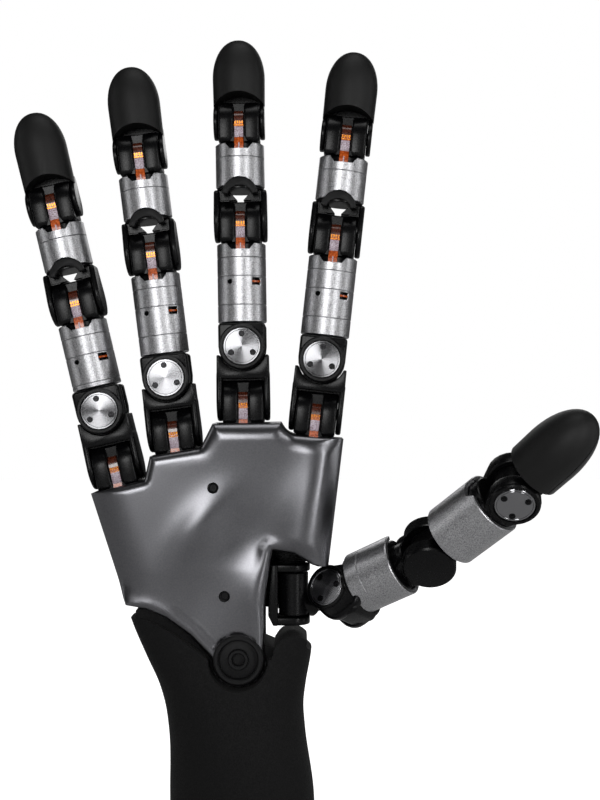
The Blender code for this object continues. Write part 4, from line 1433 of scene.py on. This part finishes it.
def row_tree():
    """Equal bars in a row."""
    tree, given, leave = new_tree(
        "row_of_bars",
        (
            ("Count", "NodeSocketInt", 4),
            ("Step", "NodeSocketVector", (0.7, 0.0, 0.0)),
            ("Start", "NodeSocketVector", (0.0, 0.0, 0.0)),
            ("Bar Size", "NodeSocketVector", (0.3, 0.1, 0.9)),
            ("Material", "NodeSocketMaterial", None),
        ),
    )
    line = add(
        tree,
        "GeometryNodeMeshLine",
        Count=given["Count"],
        Start_Location=given["Start"],
        Offset=given["Step"],
    )
    shape = add(tree, "GeometryNodeMeshCube", Size=given["Bar Size"])
    lay_out(tree, given, leave, line.outputs["Mesh"], shape.outputs["Mesh"])
    return tree


ROW = row_tree()
STRIP_HALF = 1.5
FILM = 0.22
STRIP_FACE = -6.3


def ribbon(route, half_width, thickness):
    """A thin bar along a route of (y, z) points."""
    outline = [(y, z) for y, z in route] + [(y + thickness, z) for y, z in reversed(route)]
    return bar(outline, -half_width, half_width, edge=0)


def row(count, step, start, size, paint):
    """A row of bars, centred on its start."""
    first = Vector(start) - Vector(step) * (count - 1) / 2
    values = {"Count": count, "Step": step, "Start": first, "Bar Size": size, "Material": paint}
    return run_tree(ROW, values)


def on_tube(place, x, depth, height):
    """A place turned round a tube to x, at a depth from its line and a height."""
    turn = Matrix.Rotation(asin(x / TUBE_RADIUS), 4, "Z")
    return place @ turn @ Matrix.Translation((0, -depth * MM, height * MM))


def flex_circuit(name, body, place, foot):
    """One strip with its printed parts; foot is the height of the block's lower face."""
    face = STRIP_FACE
    film = [(face - 0.75, foot - 2.4), (face - 0.75, foot - 0.4), (face, foot + 1.4), (face, foot + 7.0)]
    turn = [(face, foot + 7.0), (face + 0.1, foot + 8.4)]
    turn += [(face + 0.7, foot + 9.6), (face + 1.8, foot + 10.6)]
    finish_piece(f"{name}_film", body, place, [ribbon(film, STRIP_HALF, FILM)], AMBER)
    finish_piece(f"{name}_bend", body, place, [ribbon(turn, STRIP_HALF, FILM)], BROWN)
    patch = box((-STRIP_HALF, face - 0.1, foot + 1.5), (STRIP_HALF, face + 0.02, foot + 5.1), 0.04)
    track = row(1, (0, 0, 1), (0, face - 0.8, foot - 1.4), (0.4, 0.12, 2.0), PRINTED)
    finish_piece(f"{name}_patch", body, place, [patch, track], PRINTED)
    fingers = row(4, (0.78, 0, 0), (0, face - 0.06, foot + 6.5), (0.34, 0.1, 0.9), GOLD)
    band_line = row(1, (0, 0, 1), (0, face - 0.06, foot + 5.55), (2 * STRIP_HALF, 0.1, 0.22), GOLD)
    finish_piece(f"{name}_contacts", body, place, [fingers, band_line], GOLD)


for finger in FINGERS:
    knuckle, swing, middle, end = finger_frames(finger)
    flex_circuit(f"{finger}_flex_low", "palm", knuckle, KNUCKLE_FOOT)
    flex_circuit(f"{finger}_flex_mid", f"{finger}_proximal", middle, JOINT_FOOT)
    flex_circuit(f"{finger}_flex_top", f"{finger}_middle", end, JOINT_FOOT)
    glimpse = box((-1.9, -0.2, -0.32), (1.9, 0.2, 0.32), 0.05)
    spot = on_tube(swing, 5.5, 7.3, long_top(finger) - 12.9)
    finger_piece(finger, "window_film", "proximal", spot, [glimpse], AMBER)
print("flex circuits:", sum("_film" in p.name for p in PIECES))

# %% [markdown]
# ## Small fasteners
#
# Two socket screws hold the palm plate, four hold the back cover, and a set screw sits in each
# long tube. They are turned heads with a hexagonal socket.

# %% Palm, cover and set screws


def screw_forms(radius):
    """A socket head in its counterbore, looking along +Z, with its face at zero."""
    ring = [(1.45, -0.5), (1.45, 0.02), (1.3, 0.1), (1.12, 0.02), (1.05, -0.5)]
    head = [(0.55, -0.6), (1, -0.6), (1, -0.15), (0.85, 0.0), (0.55, 0.0)]
    floor = [(0.02, -0.62), (radius * 0.6, -0.62), (radius * 0.6, -0.58), (0.02, -0.58)]
    forms = []
    for profile, steps in ((ring, 40), (head, 24)):
        forms.append(turned([(radius * r, h) for r, h in profile], "Z", steps, ring=True))
    return forms + [turned(floor, "Z", 6)]


def seat_on(depth_of, side, x, z):
    """The place of a screw on a sculpted face, looking along the face's normal."""
    here, right, up = depth_of(np.array([(x, z), (x + 0.5, z), (x, z + 0.5)]), rim)
    spot = Matrix.Translation((x * MM, side * (here + 0.05) * MM, z * MM))
    return facing(spot, Vector((-2 * (right - here), side, -2 * (up - here))).normalized())


for number, (x, z) in enumerate(PALM_SCREWS, 1):
    spot = seat_on(plate_depth, -1, x, z) @ Matrix.Translation((0, 0, -0.9 * MM))
    finish_piece(f"palm_screw_{number}", "palm", spot, screw_forms(1.3), BLASTED_BLACK)
COVER_SCREWS = ((-34.0, 58.0), (26.0, 70.0), (-24.0, 32.0), (2.0, 30.0))
for number, (x, z) in enumerate(COVER_SCREWS, 1):
    x, z = MIDDLE_X + x, BASE_Z + z
    spot = seat_on(cover_depth, 1, x, z)
    finish_piece(f"cover_screw_{number}", "palm", spot, screw_forms(1.3), OXIDE)
for finger in FINGERS:
    swing = finger_frames(finger)[1]
    spot = on_tube(swing, SET_SCREW[0], 7.5, long_top(finger) - SET_SCREW[1])
    screw = screw_forms(0.55)
    finger_piece(finger, "set_screw", "proximal", facing(spot, (0, -1, 0)), screw, OXIDE)
print("fasteners done;", len(PIECES), "pieces")

# %% [markdown]
# ## The frame's own nodes
#
# The inner frame of the palm is hardly seen, so its solid stays as it is and only takes the
# black anodised finish.

# %% Finish for what is carried over
for name, node in frame["nodes"].items():
    node.data.materials.clear()
    node.data.materials.append(ANODISED)
print("carried over:", len(frame["nodes"]), "nodes in black")

# %% [markdown]
# ## Light and camera
#
# A dark, glossy object is drawn by what it reflects. One soft panel in front, narrow ones left and
# right, and two above and behind give long highlights with dark metal between them. The world is
# bright for the eye and dim for the metal, so the hand stands clear on white with its contrast.

# %% Floor, world, lights and camera


def pale_floor():
    """A floor that glows white to the camera only."""
    floor = as_object(box((-2.0, -2.0, -0.02), (2.0, 2.0, -0.0005), 0), "floor")
    paint = material("pale_floor", "#D8D8D8", 0.9, 0.0)
    shader = paint.node_tree.nodes["Principled BSDF"]
    shader.inputs["Emission Color"].default_value = linear("#FFFFFF")
    ray = add(paint.node_tree, "ShaderNodeLightPath").outputs["Is Camera Ray"]
    glow = add(paint.node_tree, "ShaderNodeMapRange", {"To_Min": 0.0, "To_Max": 1.0}, Value=ray)
    paint.node_tree.links.new(glow.outputs["Result"], shader.inputs["Emission Strength"])
    floor.data.materials.append(paint)


def pale_world(seen, lit):
    """A white world, with one strength for the camera and one for the light it gives."""
    world = bpy.data.worlds.new("studio")
    bpy.context.scene.world = world
    world.use_nodes = True
    tree = world.node_tree
    back = tree.nodes["Background"]
    back.inputs["Color"].default_value = (1, 1, 1, 1)
    ray = add(tree, "ShaderNodeLightPath").outputs["Is Camera Ray"]
    power = add(tree, "ShaderNodeMapRange", {"To_Min": lit, "To_Max": seen}, Value=ray)
    tree.links.new(power.outputs["Result"], back.inputs["Strength"])


def soft_panel(name, place, aim, width, height, watts):
    """A rectangular light that faces its aim."""
    light = bpy.data.lights.new(name, "AREA")
    light.shape = "RECTANGLE"
    light.size, light.size_y = width, height
    light.energy = watts
    panel = bpy.data.objects.new(name, light)
    panel.location = place
    panel.rotation_euler = (Vector(aim) - Vector(place)).to_track_quat("-Z", "Y").to_euler()
    bpy.context.scene.collection.objects.link(panel)


HEART = (0.0, 0.0, 0.15)
pale_floor()
pale_world(1.0, 0.05)
soft_panel("key", (-0.18, -0.95, 0.36), HEART, 0.24, 0.36, 3.3)
soft_panel("right_strip", (0.42, -0.64, 0.20), HEART, 0.06, 0.8, 2.6)
soft_panel("far_right_strip", (0.72, -0.12, 0.20), HEART, 0.10, 0.8, 1.2)
soft_panel("left_strip", (-0.75, -0.10, 0.25), HEART, 0.12, 0.8, 0.8)
soft_panel("top", (0.05, -0.15, 0.95), HEART, 0.6, 0.3, 1.6)
soft_panel("back", (0.1, 0.8, 0.6), HEART, 0.9, 0.4, 2.0)

EYE = Vector((0.0204, -0.425, 0.1564))
SENSOR = 36.0
FOCAL = 56.25
lens = bpy.data.cameras.new("camera")
lens.sensor_fit = "VERTICAL"
lens.sensor_height = SENSOR
lens.lens = FOCAL
lens.clip_start = 0.01
camera = bpy.data.objects.new("camera", lens)
camera.location = EYE
camera.rotation_euler = (pi / 2, 0, 0)
bpy.context.scene.collection.objects.link(camera)
bpy.context.scene.camera = camera
print("camera", [round(v, 3) for v in EYE], "lens", FOCAL)
